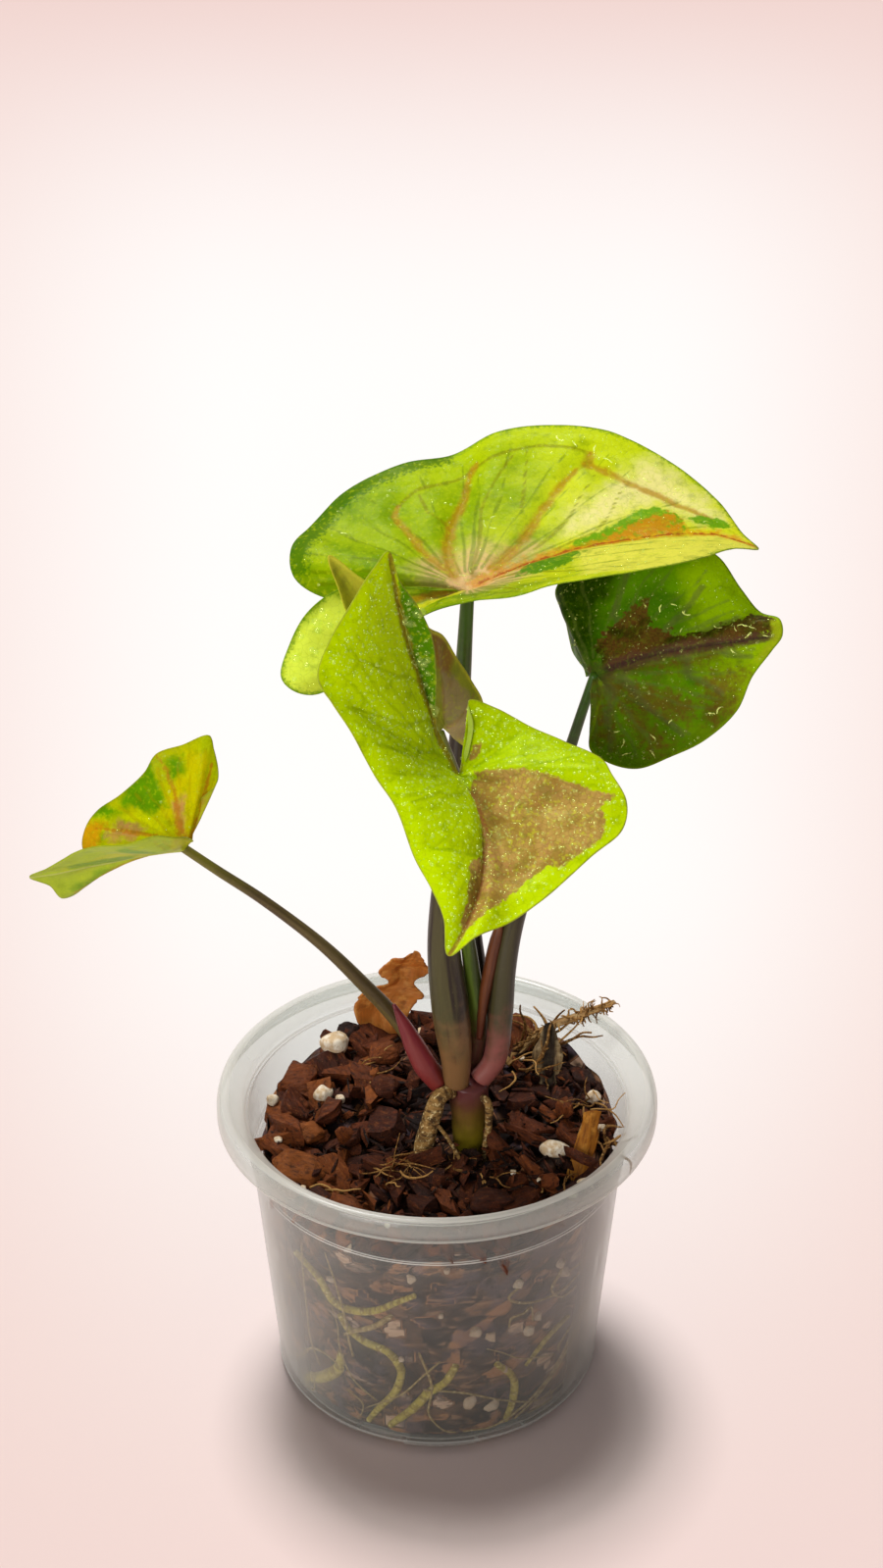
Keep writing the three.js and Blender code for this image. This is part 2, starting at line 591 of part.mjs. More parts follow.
// Thin dry pieces: a strip of rows, each row a left, middle and right point
const FLAKES = {
  dry_leaf: { color: ORANGE_FLAKE, half: 0.35, rows: [
    [[-18.5, 36, 71.4], [-15.4, 37.6, 70.8], [-11, 38.4, 71.6]],
    [[-20, 37.8, 80.6], [-15, 40.4, 79.6], [-8.6, 40.4, 80]],
    [[-15.6, 42, 85], [-11.4, 43.4, 85.6], [-6.4, 42.8, 85]],
    [[-14, 43.4, 89.4], [-9.6, 45, 90.6], [-3.6, 44.2, 89]],
    [[-8, 44.6, 92.8], [-6, 45.4, 93.6], [-4.4, 44.8, 93]],
  ] },
  dry_leaf_right: { color: ORANGE_FLAKE, half: 0.35, rows: [
    [[31.4, -17.6, 68], [34, -18.4, 67.4], [36.8, -17.6, 68]],
    [[34.4, -11.8, 74], [36.8, -12.4, 74.6], [39.4, -11.6, 74]],
    [[36.4, -6, 79], [38.6, -6.4, 80], [40.8, -6, 79.4]],
  ] },
  husk: { color: STRAW, half: 0.4, rows: [
    [[26, 15.6, 70.6], [28.6, 13.8, 70], [31, 15.4, 70.6]],
    [[24.6, 19.4, 78], [28.6, 16.4, 78.2], [32.2, 19.2, 78]],
    [[25.8, 24, 84.2], [28.8, 22.4, 85.4], [31.4, 23.8, 84.4]],
  ] },
  fibre_strip: { color: STRAW, half: 0.45, rows: [
    [[17.4, 26.8, 71.6], [18, 25.4, 71.4], [18.6, 24, 71.6]],
    [[26.4, 28.6, 80.4], [27, 27.2, 80.8], [27.6, 25.8, 80.4]],
    [[37, 27.4, 86.4], [37.4, 26, 86.8], [37.8, 24.8, 86.4]],
    [[45.4, 26.2, 90.8], [45.7, 25.6, 91], [46, 25, 90.8]],
  ] },
};

function flake({ rows, half }, grow = 0) {
  const across = FLAKE_ACROSS;
  const along = STEPS_PER_SPAN * (rows.length - 1);
  const wide = rows.map((row) => spread(row, grow));
  const spines = [0, 1, 2].map((k) => curveThrough(spread(wide.map((row) => row[k]), grow)));
  const points = [];
  for (let i = 0; i <= along; i += 1) {
    const [left, middle, right] = spines.map((spine) => spine.getPoint(i / along));
    const row = new THREE.CatmullRomCurve3([left, middle, right]);
    for (let j = 0; j <= across; j += 1) points.push(row.getPoint(j / across));
  }
  const at = (i, j) => i * (across + 1) + j;
  const faces = [];
  for (let i = 0; i < along; i += 1) {
    for (let j = 0; j < across; j += 1) {
      faces.push([at(i, j), at(i, j + 1), at(i + 1, j + 1)], [at(i, j), at(i + 1, j + 1), at(i + 1, j)]);
    }
  }
  const border = [];
  for (let j = 0; j < across; j += 1) border.push(at(0, j));
  for (let i = 0; i < along; i += 1) border.push(at(i, across));
  for (let j = across; j > 0; j -= 1) border.push(at(along, j));
  for (let i = along; i > 0; i -= 1) border.push(at(i, 0));
  return thickened(points, faces, border, half + grow);
}

// Assembly: every piece that meets another is cut back by GAP
add("pot", pot(), MILKY, GLOSSY);
add("stem", stem(), MAROON, WAXY);

const grownStem = stem(GAP);
const grown = {};
for (const [name, spec] of Object.entries(PETIOLES)) {
  const bladeRoom = blade(BLADES[name], LEAF_HALF_THICKNESS + GAP);
  const neighbours = [grownStem, bladeRoom, ...Object.values(grown)];
  add(`petiole_${name}`, cutBy(stalk(spec), neighbours), spec.color, WAXY);
  grown[name] = stalk(spec, GAP);
}
for (const [name, spec] of Object.entries(BLADES)) add(`blade_${name}`, blade(spec), spec.color, GLOSSY);

const crown = [grownStem, ...Object.values(grown)];
add("cataphyll", cutBy(stalk(CATAPHYLL), crown), CRIMSON, WAXY);
add("sheath_right", cutBy(stalk(RIGHT_SHEATH), crown), ORANGE_FLAKE, SATIN);
add("aerial_root", cutBy(stalk(AERIAL_ROOT), [...crown, stalk(CATAPHYLL, GAP)]), STRAW, DRY);
add("side_root", cutBy(stalk(SIDE_ROOT), crown), STRAW, DRY);
add("thread_root", cutBy(stalk(THREAD_ROOT), [stalk(AERIAL_ROOT, GAP)]), STRAW, DRY);

const bedded = [grownStem, stalk(AERIAL_ROOT, GAP), stalk(SIDE_ROOT, GAP), stalk(THREAD_ROOT, GAP)];
WALL_ROOTS.forEach((root, k) => {
  const tube = wallRoot(root);
  add(`wall_root_${k + 1}`, stalk(tube), OLIVE_ROOT, SATIN);
  bedded.push(stalk(tube, GAP));
});
for (const [name, spec] of Object.entries(CHIPS)) {
  const crumb = name.startsWith("perlite");
  const corners = crumb ? PERLITE_CORNERS : BARK_CORNERS;
  const color = crumb ? PERLITE : BARK;
  add(name, chip(spec, corners), color, DRY);
  bedded.push(chip(spec, corners, GAP));
}
for (const [name, spec] of Object.entries(FLAKES)) {
  add(name, flake(spec), spec.color, DRY);
  bedded.push(flake(spec, GAP));
}
add("substrate", cutBy(mound(), bedded), SOIL_BROWN, DRY);

export default group;
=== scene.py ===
"""Looks of the potted brown lava syngonium: leaves, stalks, bark mix, roots, water drops and the tub."""

import itertools
import math

import bmesh
import bpy
import numpy as np
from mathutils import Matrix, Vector


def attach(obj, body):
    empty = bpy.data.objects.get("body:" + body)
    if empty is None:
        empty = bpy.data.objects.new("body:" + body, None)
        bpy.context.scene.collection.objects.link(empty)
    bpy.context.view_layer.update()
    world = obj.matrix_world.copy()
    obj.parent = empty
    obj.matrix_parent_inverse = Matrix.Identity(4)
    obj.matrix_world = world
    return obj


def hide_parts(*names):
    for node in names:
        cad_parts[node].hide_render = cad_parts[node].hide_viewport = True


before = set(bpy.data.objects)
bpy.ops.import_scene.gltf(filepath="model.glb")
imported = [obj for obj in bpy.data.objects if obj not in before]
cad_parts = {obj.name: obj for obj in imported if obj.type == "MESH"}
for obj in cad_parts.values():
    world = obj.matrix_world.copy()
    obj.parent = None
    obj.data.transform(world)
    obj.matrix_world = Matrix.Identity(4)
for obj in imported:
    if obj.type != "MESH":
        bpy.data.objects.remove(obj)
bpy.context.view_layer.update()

# Tables are in millimetres and turned to metres when a mesh is made
MM = 0.001
UP = (0, 0, 1)
TO_VIEWER = (0, -1, 0)

# Repeatable noise

HASH_FACTORS = (73856093, 19349663, 83492791, 97531)
HASH_MIX = 1274126177
HASH_MASK = 0xFFFFF


def hashed(cells, seed):
    a, b, c, d = HASH_FACTORS
    mixed = cells[..., 0] * a ^ cells[..., 1] * b ^ cells[..., 2] * c ^ seed * d
    mixed = (mixed ^ (mixed >> 13)) * HASH_MIX
    mixed = mixed ^ (mixed >> 16)
    return (mixed & HASH_MASK) / HASH_MASK


def rough(points, size, seed=0, octaves=3):
    """Smooth noise from -1 to 1 at each point. size is the width of its largest bumps."""
    points = np.asarray(points, float)
    total = np.zeros(points.shape[:-1])
    weight = 1.0
    whole = 0.0
    for octave in range(octaves):
        q = points / size * 2 ** octave
        base = np.floor(q).astype(np.int64)
        f = q - base
        f = f * f * (3 - 2 * f)
        value = np.zeros(points.shape[:-1])
        for corner in itertools.product((0, 1), repeat=3):
            share = np.prod(np.where(corner, f, 1 - f), axis=-1)
            value = value + share * hashed(base + corner, seed + octave)
        total += weight * (2 * value - 1)
        whole += weight
        weight *= 0.5
    return total / whole


def smooth(low, high, value):
    t = np.clip((value - low) / (high - low), 0, 1)
    return t * t * (3 - 2 * t)


def drawn(random, least, more, power=1):
    """A random size from least to least + more. A power over 1 makes the small ones more common."""
    return least + more * random.random() ** power


def unit(vectors):
    length = np.linalg.norm(vectors, axis=-1, keepdims=True)
    return vectors / np.maximum(length, 1e-9)


# Curves

SAME_PLACE = 1e-4
FINE_STEPS = 40


def through(points, index):
    """The centripetal curve through points, read at fractional point numbers."""
    p = np.asarray(points, float)
    index = np.asarray(index, float)
    last = len(p) - 2
    p = np.vstack([2 * p[0] - p[1], p, 2 * p[-1] - p[-2]])
    low = np.clip(np.floor(index).astype(int), 0, last)
    w = (index - low)[:, None]
    p0, p1, p2, p3 = (p[low + k] for k in range(4))
    d0, d1, d2 = (np.sum((a - b) ** 2, axis=1)[:, None] ** 0.25 for a, b in ((p0, p1), (p1, p2), (p2, p3)))
    d1 = np.where(d1 < SAME_PLACE, 1, d1)
    d0 = np.where(d0 < SAME_PLACE, d1, d0)
    d2 = np.where(d2 < SAME_PLACE, d1, d2)
    t1 = ((p1 - p0) / d0 - (p2 - p0) / (d0 + d1) + (p2 - p1) / d1) * d1
    t2 = ((p2 - p1) / d1 - (p3 - p1) / (d1 + d2) + (p3 - p2) / d2) * d1
    return p1 + t1 * w + (-3 * p1 + 3 * p2 - 2 * t1 - t2) * w ** 2 + (2 * p1 - 2 * p2 + t1 + t2) * w ** 3


def evenly(points, count):
    """count + 1 points evenly spaced along the curve through points, and the curve's length."""
    fine = through(points, np.linspace(0, len(points) - 1, FINE_STEPS * len(points)))
    reach = np.concatenate([[0], np.cumsum(np.linalg.norm(np.diff(fine, axis=0), axis=1))])
    wanted = np.linspace(0, reach[-1], count + 1)
    return np.stack([np.interp(wanted, reach, fine[:, k]) for k in range(3)], axis=1), reach[-1]


# Meshes


def face_out(mesh):
    """Turns every face round if the mesh is inside out."""
    mesh.calc_loop_triangles()
    corners = np.empty(len(mesh.loop_triangles) * 3, np.int32)
    mesh.loop_triangles.foreach_get("vertices", corners)
    points = np.empty(len(mesh.vertices) * 3, np.float32)
    mesh.vertices.foreach_get("co", points)
    a, b, c = np.moveaxis(points.reshape(-1, 3).astype(float)[corners.reshape(-1, 3)], 1, 0)
    if np.sum(a * np.cross(b, c)) < 0:
        mesh.flip_normals()


def corners_once(face):
    """A triangle among quads repeats its last corner."""
    return tuple(face[:3]) if len(face) == 4 and face[2] == face[3] else tuple(face)


def make(name, points, faces, material, nodes=(), fields=None, sharp=0):
    """A visible piece on the plant's one body. It takes the place of the nodes that it names."""
    mesh = bpy.data.meshes.new(name)
    mesh.from_pydata((np.asarray(points) * MM).tolist(), [], [corners_once(f) for f in faces])
    mesh.validate()
    face_out(mesh)
    for key, values in (fields or {}).items():
        values = np.asarray(values, np.float32)
        if values.ndim == 2:
            mesh.attributes.new(key, "FLOAT_VECTOR", "POINT").data.foreach_set("vector", values.ravel())
        else:
            mesh.attributes.new(key, "FLOAT", "POINT").data.foreach_set("value", values)
    mesh.materials.append(material)
    mesh.shade_smooth()
    if sharp:
        mesh.set_sharp_from_angle(angle=math.radians(sharp))
    piece = bpy.data.objects.new(name, mesh)
    bpy.context.scene.collection.objects.link(piece)
    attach(piece, "root")
    if nodes:
        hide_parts(*nodes)
    return piece


class Batch:
    """Gathers many small closed shapes into one mesh."""

    def __init__(self):
        self.points = []
        self.faces = []
        self.fields = {}
        self.count = 0

    def add(self, points, faces, **fields):
        self.points.append(points)
        self.faces.append(np.asarray(faces) + self.count)
        self.count += len(points)
        for key, value in fields.items():
            value = np.asarray(value, float)
            if value.ndim == 0:
                value = np.full(len(points), float(value))
            self.fields.setdefault(key, []).append(value)

    def make(self, name, material, slot, sharp=0):
        fields = {key: np.concatenate(parts) for key, parts in self.fields.items()}
        faces = list(itertools.chain.from_iterable(self.faces))
        return make(name, np.vstack(self.points), faces, material, fields=fields, sharp=sharp)


def grid_faces(rows, columns, closed=False):
    across = columns if closed else columns - 1
    i, j = (a.ravel() for a in np.meshgrid(np.arange(rows - 1), np.arange(across), indexing="ij"))
    k = (j + 1) % columns
    return np.stack([i * columns + j, i * columns + k, (i + 1) * columns + k, (i + 1) * columns + j], 1)


def capped_faces(rings, sides):
    """Faces of a stack of rings, closed by one point at each end. The two points follow the rings."""
    k = np.arange(sides)
    n = (k + 1) % sides
    end = np.full(sides, rings * sides)
    last = (rings - 1) * sides
    caps = np.stack([n, k, end, end, last + k, last + n, end + 1, end + 1], 1).reshape(-1, 4)
    return np.vstack([grid_faces(rings, sides, closed=True), caps])


def circle(count):
    return np.arange(count) * 2 * math.pi / count


# Materials


def rgba(code):
    parts = [int(code[k:k + 2], 16) / 255 for k in (0, 2, 4)]
    return [p / 12.92 if p <= 0.04045 else ((p + 0.055) / 1.055) ** 2.4 for p in parts] + [1]


class Recipe:
    """A node material, built one node at a time. Sizes are in millimetres."""

    def __init__(self, name):
        self.material = bpy.data.materials.new(name)
        self.material.use_nodes = True
        self.tree = self.material.node_tree
        self.tree.nodes.clear()
        self.place = self.put("ShaderNodeTexCoord").outputs["Object"]

    def put(self, kind, inputs=None, **settings):
        node = self.tree.nodes.new(kind)
        for key, value in settings.items():
            setattr(node, key, value)
        for key, value in (inputs or {}).items():
            socket = node.inputs[key]
            if isinstance(value, bpy.types.NodeSocket):
                self.tree.links.new(value, socket)
            elif isinstance(value, str):
                socket.default_value = rgba(value)
            else:
                socket.default_value = value
        return node

    def noise(self, size, detail=3, roughness=0.55, place=None):
        inputs = {"Vector": place or self.place, "Scale": 1 / (size * MM), "Detail": detail,
                  "Roughness": roughness}
        return self.put("ShaderNodeTexNoise", inputs).outputs[0]

    def cells(self, size, feature="F1", place=None):
        inputs = {"Vector": place or self.place, "Scale": 1 / (size * MM)}
        return self.put("ShaderNodeTexVoronoi", inputs, feature=feature).outputs["Distance"]

    def field(self, name):
        """A mesh field, or a place along X, Y or Z in millimetres."""
        if name in "XYZ":
            axes = self.put("ShaderNodeSeparateXYZ", {0: self.place})
            return self.math("MULTIPLY", axes.outputs["XYZ".index(name)], 1 / MM)
        return self.put("ShaderNodeAttribute", attribute_name=name).outputs["Fac"]

    def vector(self, name):
        return self.put("ShaderNodeAttribute", attribute_name=name).outputs["Vector"]

    def math(self, operation, a, b=0.0, c=0.0):
        return self.put("ShaderNodeMath", {0: a, 1: b, 2: c}, operation=operation).outputs[0]

    def grazing(self, least, most, power=5.0):
        """A share that grows from least, seen square on, to most at a grazing angle."""
        facing = self.put("ShaderNodeLayerWeight", {"Blend": 0.5}).outputs["Facing"]
        return self.math("MULTIPLY_ADD", self.math("POWER", facing, power), most - least, least)

    def step(self, value, low, high, least=0.0, most=1.0):
        inputs = {"Value": value, "From Min": low, "From Max": high, "To Min": least, "To Max": most}
        return self.put("ShaderNodeMapRange", inputs, interpolation_type="SMOOTHSTEP").outputs[0]

    def mix(self, part, a, b, blend="MIX"):
        node = self.put("ShaderNodeMix", {0: part, 6: a, 7: b}, data_type="RGBA", blend_type=blend)
        return node.outputs[2]

    def tint(self, colour, over, pattern, start, full, strength=1.0):
        """Lays a second colour over the first, from where a pattern starts to where it is full."""
        return self.mix(self.step(pattern, start, full, 0, strength), colour, over)

    def wobble(self, amount, *noise):
        """Noise about zero."""
        return self.math("MULTIPLY", self.math("SUBTRACT", self.noise(*noise), 0.5), amount)

    def stretched(self, place, x, y, z):
        node = self.put("ShaderNodeVectorMath", {0: place, 1: (x, y, z)}, operation="MULTIPLY")
        return node.outputs[0]

    def bump(self, height, distance, strength=1.0, normal=None):
        inputs = {"Height": height, "Distance": distance * MM, "Strength": strength}
        if normal:
            inputs["Normal"] = normal
        return self.put("ShaderNodeBump", inputs).outputs[0]

    def shader(self, kind, **inputs):
        """One kind of surface. An underscore stands for the space in a socket's name."""
        names = {key.replace("_", " "): value for key, value in inputs.items()}
        return self.put(f"ShaderNodeBsdf{kind}", names).outputs[0]

    def blend(self, part, a, b):
        return self.put("ShaderNodeMixShader", {0: part, 1: a, 2: b}).outputs[0]

    def done(self, shader):
        self.put("ShaderNodeOutputMaterial", {"Surface": shader})
        return self.material


# Leaves: each is a fan of bent rays from its junction to points on its margin. A place on a leaf is a
# margin point number and a share of the way from the junction to the margin.

LEAVES = {
    "top": {
        "junction": (7, 6, 216), "up": UP, "spans": 10, "across": 90,
        "margin": [
            (5.5, 10, 214), (-5.5, 12, 212.5), (-16.5, 11.5, 211), (-26, 11, 212), (-32.5, 12.5, 216),
            (-33.5, 19, 220.5), (-29, 27, 223), (-22, 35, 227.5), (-8, 41, 232.5), (4, 44, 233.5),
            (14, 47, 238), (26.5, 48, 239.5), (40.5, 45, 239), (54, 38, 234.5), (64.5, 29, 229),
            (70, 17.5, 225), (73, 11, 224), (66, 2, 228), (55.5, -9, 230), (44.5, -16, 231),
            (34, -19, 230.5), (25.5, -20, 229.5), (17, -18.5, 226), (7, -15.5, 223), (-2.5, -14.5, 219.5),
            (-14, -17, 211), (-25.5, -21, 203.5), (-31, -23, 205), (-34, -21, 207.5), (-32.5, -16, 212.5),
            (-28.5, -10, 218), (-21, -6, 222), (-10, -1, 220), (1, 2, 218),
        ],
        "bends": [
            (0, 0, 0), (0, 0, 1), (0, 0, 3), (0, 0, 4), (0, 0, 4), (0, 0, 3), (0, 0, 2), (0, 0, 1),
            (0, 0, -1), (0, 0, -1), (0, 0, -2), (0, 0, -2), (0, 0, -1), (0, 0, 1), (0, 0, 4), (0, 1, 8),
            (0, 1, 10), (0, 0, 6), (0, 0, 2), (0, 0, 0), (0, 0, -1), (0, 0, -2), (0, 0, -2), (0, 0, -2),
            (0, 0, 0), (0, 0, 4), (0, 0, 6), (0, 0, 6), (0, 0, 5), (0, 0, 4), (0, 0, 2), (0, 0, 0),
            (0, 0, 0), (0, 0, 0),
        ],
        "veins": {
            "rib": [
                (
                    1.2, 0.5,
                    [
                        (14.3, .05), (14.6, .15), (14.7, .25), (14.85, .4), (14.9, .5), (15, .75),
                        (15.1, .9), (15.9, 1),
                    ],
                ),
            ],
            "side": [
                (1.0, 0.4, [(7.4, .13), (8, .3), (8.8, .53), (9.25, .66), (9.4, .8), (9.6, .85)]),
                (0.8, 0.4, [(7.2, .15), (7, .3), (7.2, .5), (7.3, .66), (7.5, .72)]),
                (1.0, 0.4, [(12.6, .15), (12.5, .28), (12.1, .48), (12, .63), (12, .76)]),
                (0.7, 0.4, [(12, .86), (12.1, .8), (13, .8), (14, .85), (14.7, .94)]),
                (0.6, 0.3, [(29.5, .1), (28.5, .45), (27.6, .75)]),
            ],
            "fine": [
                (0.5, 0.3, [(10.2, .1), (10.2, .28), (9.95, .52), (10.3, .72), (10.5, .82)]),
                (0.5, 0.3, [(13.4, .3), (13, .48), (12.6, .62), (12.4, .76)]),
                (0.5, 0.3, [(14.2, .35), (14, .5), (13.2, .7), (12.9, .8)]),
                (0.5, 0.4, [(7.5, .72), (8, .78), (9, .8), (10, .84), (11, .87), (12, .86)]),
                (0.5, 0.3, [(8.6, .45), (8, .6), (8, .74)]),
                (0.5, 0.3, [(11.4, .5), (11, .7), (10.8, .84)]),
                (0.5, 0.3, [(17, .1), (18, .4), (19, .8)]), (0.5, 0.3, [(20, .1), (21, .4), (21.6, .85)]),
            ],
        },
        "zones": {
            "cream": [
                [
                    (12.7, .55), (12.8, .96), (14.7, .97), (14.6, .85), (14.2, .82), (13.8, .78),
                    (13.7, .7), (13.9, .55), (13.6, .42), (13, .45),
                ],
            ],
            "pale": [
                [
                    (15.25, .32), (15.12, .6), (15.2, .97), (16.5, 1.02), (19, 1.02), (19.5, .75),
                    (17.5, .45), (16.3, .36),
                ],
            ],
            "green": [
                [
                    (14.2, .42), (14.05, .52), (13.9, .6), (13.75, .7), (13.85, .77), (14.15, .8),
                    (14.5, .82), (14.85, .8), (14.85, .65), (14.8, .5), (14.6, .38),
                ],
                [(14.5, .84), (14.35, .88), (14.55, .94), (14.85, .98), (14.9, .9)],
            ],
            "dark": [
                [(4, .9), (4, 1.04), (9, 1.04), (9, .93), (7, .88), (5, .87)],
                [(31.6, .12), (31.8, 1.04), (33, 1.04), (33, .1)],
                [(0, .1), (0, 1.04), (1, 1.04), (1, .1)],
            ],
            "yellow": [[(23.6, .12), (24, .42), (27, .4), (27.4, .14)]],
            "orange": [
                [(14.2, .6), (14.05, .7), (14.2, .79), (14.6, .8), (14.9, .8), (14.85, .55), (14.5, .52)],
            ],
            # The front-left lobe, which the paint makes lighter: painted light on a lobe in shade
            "lobe": [[(25, .3), (25, 1.04), (31, 1.04), (31, .4)]],
            "patch": [
                [(15.3, .2), (15.3, .3), (15.7, .38), (16.6, .42), (17.8, .38), (18, .28), (17, .19)],
            ],
        },
    },
    "front": {
        "junction": (5, -36, 191), "up": TO_VIEWER, "spans": 10, "across": 90,
        "margin": [
            (2, -36, 192.5), (0.5, -36, 196.5), (0, -34, 206), (0, -32, 215), (-1, -31, 222.5),
            (-4, -31, 229.5), (-7.5, -32, 235.5), (-10, -33, 243), (-13, -36, 240.5), (-18, -41, 234),
            (-22, -45, 228), (-24.5, -48, 221), (-21.5, -50, 216), (-17.5, -52, 210), (-13, -55, 202),
            (-8.5, -59, 196.5), (-4.5, -65, 187.5), (-1, -69, 182.5), (1.5, -73, 178), (2.5, -78, 172),
            (8, -75, 174.5), (15.5, -69, 174.5), (23, -64, 177.5), (32.5, -57, 183), (39.5, -52, 187),
            (40.5, -48, 191.5), (37.5, -43, 195.5), (35.5, -38, 196.5), (27.5, -33, 198),
            (20.5, -29, 199.5), (13, -27, 203), (7, -28, 205.5), (8, -31, 201), (7, -34, 195.5),
        ],
        "bends": [
            (0, 0, 0), (-1, 0, 0), (-6, 0, 0), (-7, 2, 0), (-7, 3, 0), (-7, 4, 0), (-6.5, 4, 0),
            (-6, 4, 0), (-6, 1, 0), (-4, -2, 0), (-2, -3, 0), (0, -3, 0), (0, -4, 0), (1, -5, 0),
            (2, -6, 1), (4, -6, 2), (7, -7, 3), (10, -6, 2), (11, -4, 1), (12, -2, 0), (10, 0, -1),
            (6, 1, -1), (3, 2, 0), (0, 3, 2), (0, 2, 3), (0, 1, 4), (0, 0, 4), (0, 0, 4), (0, 0, 3),
            (0, 0, 3), (0, 0, 2), (0, 0, 0), (0, 0, 0), (0, 0, 0),
        ],
        "veins": {
            "rib": [(1.1, 0.5, [(20, .1), (19.8, .28), (19, .43), (19, .57), (19, .7), (19, 1)])],
            "basal": [(1.3, 0.6, [(6.5, .04), (6.6, .3), (6.8, .6), (6.9, .98)])],
            "side": [
                (0.6, 0.3, [(19.4, .45), (18, .55), (16.6, .72), (16, .86)]),
                (0.6, 0.3, [(19.2, .6), (21, .7), (22, .8)]),
                (0.6, 0.3, [(19.8, .25), (23, .5), (24.4, .74)]),
                (0.6, 0.3, [(23, .1), (26, .45), (27, .8)]),
                (0.6, 0.3, [(28, .15), (28.6, .5), (29, .85)]),
            ],
            "fine": [
                (0.5, 0.3, [(6.8, .35), (8.6, .55), (9.6, .8)]),
                (0.5, 0.3, [(6.8, .2), (10, .4), (11.4, .8)]),
                (0.5, 0.3, [(9, .12), (12.6, .4), (13, .8)]), (0.5, 0.3, [(16, .2), (15, .5), (15, .85)]),
            ],
        },
        "zones": {
            "lava": [
                [
                    (26, .1), (26, .25), (25.8, .45), (25.4, .56), (25.1, .7), (25, .8), (25.1, .94),
                    (24.6, .86), (24.4, .85), (24, .9), (23.7, .93), (23.3, .96), (22.5, .93),
                    (22.3, .85), (22, .84), (21.6, .82), (21.2, .84), (21, .83), (20, .85), (19.4, .86),
                    (18.6, .87), (18.3, .8), (17.85, .74), (17.55, .66), (17.9, .58), (18.5, .5),
                    (19.3, .4), (19.8, .28), (20, .12),
                ],
                [(29.4, .2), (29.3, .34), (29.6, .44), (30, .4), (30, .2)],
            ],
            # Inner strip of the fold: partly the leaf's own darker green, partly painted shade
            "dark": [[(1.5, .08), (1.5, 1.04), (6.1, 1.04), (6.2, .5), (6.2, .1)]],
        },
    },
    "right": {
        "junction": (36, 3, 196), "up": TO_VIEWER, "spans": 14, "across": 70,
        "margin": [
            (34.5, 5, 194.5), (34, 9, 195), (31.5, 14, 197), (30, 20, 202.5), (28, 25, 207.5),
            (35.5, 28, 213.5), (47, 27, 218), (57.5, 22, 221), (64.5, 17, 219.5), (69.5, 10, 214.5),
            (73.5, 5, 211), (77.5, 1, 211), (78, -1, 208), (75.5, -3, 205), (71, -7, 200.5),
            (67.5, -11, 194), (60, -15, 188.5), (52.5, -17, 185.5), (45, -18, 183), (38.5, -16, 183.5),
            (34.5, -13, 185.5), (36, -7, 190), (38, -1, 194), (37, 1, 196),
        ],
        "bends": [
            (0, 0, 0), (0, 0, 0), (0, -1, 0), (0, -2, 1), (0, -2, 2), (0, -1, 2), (0, -1, 1), (0, -1, 1),
            (0, -1, 2), (0, -2, 3), (0, -3, 4), (0, -3, 4), (0, -3, 4), (0, -3, 3), (0, -4, 2),
            (0, -4, 2), (0, -4, 2), (0, -4, 2), (0, -3, 1), (0, -2, 1), (0, -1, 0), (0, 0, 0), (0, 0, 0),
            (0, 0, 0),
        ],
        "veins": {
            "rib": [(1.3, 0.6, [(11, .02), (11, .2), (11.3, .35), (11.7, .5), (12, .75), (12, .95)])],
            "side": [
                (0.8, 0.4, [(11.2, .3), (9, .5), (8.4, .8)]),
                (0.8, 0.4, [(11.6, .45), (10.2, .64), (10, .86)]),
                (0.8, 0.4, [(8, .05), (6, .45), (6, .85)]),
                (0.8, 0.4, [(11.6, .42), (14, .6), (14.6, .85)]),
                (0.8, 0.4, [(14, .08), (16, .4), (16.2, .85)]),
                (0.8, 0.4, [(16, .1), (18.4, .4), (18.8, .85)]),
                (0.8, 0.4, [(11.9, .62), (13, .75), (13.2, .9)]),
            ],
            "fine": [
                (0.5, 0.3, [(5, .1), (4.4, .5), (4.6, .9)]), (0.5, 0.3, [(18, .1), (20, .5), (20, .9)]),
            ],
        },
        "zones": {
            "lava": [
                [
                    (5.2, .2), (5.8, .3), (6.4, .42), (7.1, .56), (7.8, .46), (8.4, .42), (9, .46),
                    (9.3, .5), (9.8, .5), (10.3, .6), (10.4, .68), (10.2, .75), (10.2, .85), (10.1, .95),
                    (10.8, .98), (11.4, .95), (12, .85), (12.2, .7), (12, .5), (11.5, .3), (11, .1),
                    (8, .03),
                ],
            ],
            # Upper-left part: partly the leaf's own darker green, partly painted shade
            "dark": [[(2.4, .05), (2.6, 1.04), (5.4, 1.04), (5.6, .6), (5, .2)]],
            "bright": [[(7.6, .76), (7.8, 1.04), (10, 1.04), (10.1, .98), (9.6, .7), (8.6, .66)]],
            "streak": [
                [(14.4, .08), (15, .5), (15, .75), (15.7, .78), (16.4, .55), (17, .3), (17.5, .1)],
                [(18.2, .1), (18.4, .72), (19.2, .72), (19.6, .1)],
                [(12.8, .2), (12.5, .66), (13.2, .68), (13.6, .2)],
                [(16.7, .2), (16.8, .9), (17.3, .9), (17.2, .2)],
                [(14, .7), (13.8, .92), (15.4, .94), (15.4, .84)],
            ],
            "tip": [[(10.9, .94), (10.9, 1.04), (13.4, 1.04), (13.4, .94)]],
        },
    },
    "left": {
        "junction": (-59.5, 0, 151.5), "up": UP, "spans": 8, "across": 60,
        "margin": [
            (-58, 2, 152.5), (-57.5, 6, 156), (-56.5, 8, 160), (-52.5, 10, 163.5), (-52, 12, 166),
            (-53, 14, 171), (-54, 15, 174), (-60.5, 16, 171), (-67, 16, 168.5), (-70, 15, 164),
            (-76, 15, 158), (-82, 16, 153), (-85, 15, 149), (-86, 13, 145), (-84.5, 10, 140.5),
            (-86.5, 8, 135), (-90.5, 6, 134), (-93, 3, 139.5), (-97, 0, 143.5), (-92, -5, 149),
            (-84, -11, 157), (-78, -15, 161), (-70.5, -17, 163), (-64.5, -17, 165), (-60.5, -14, 163),
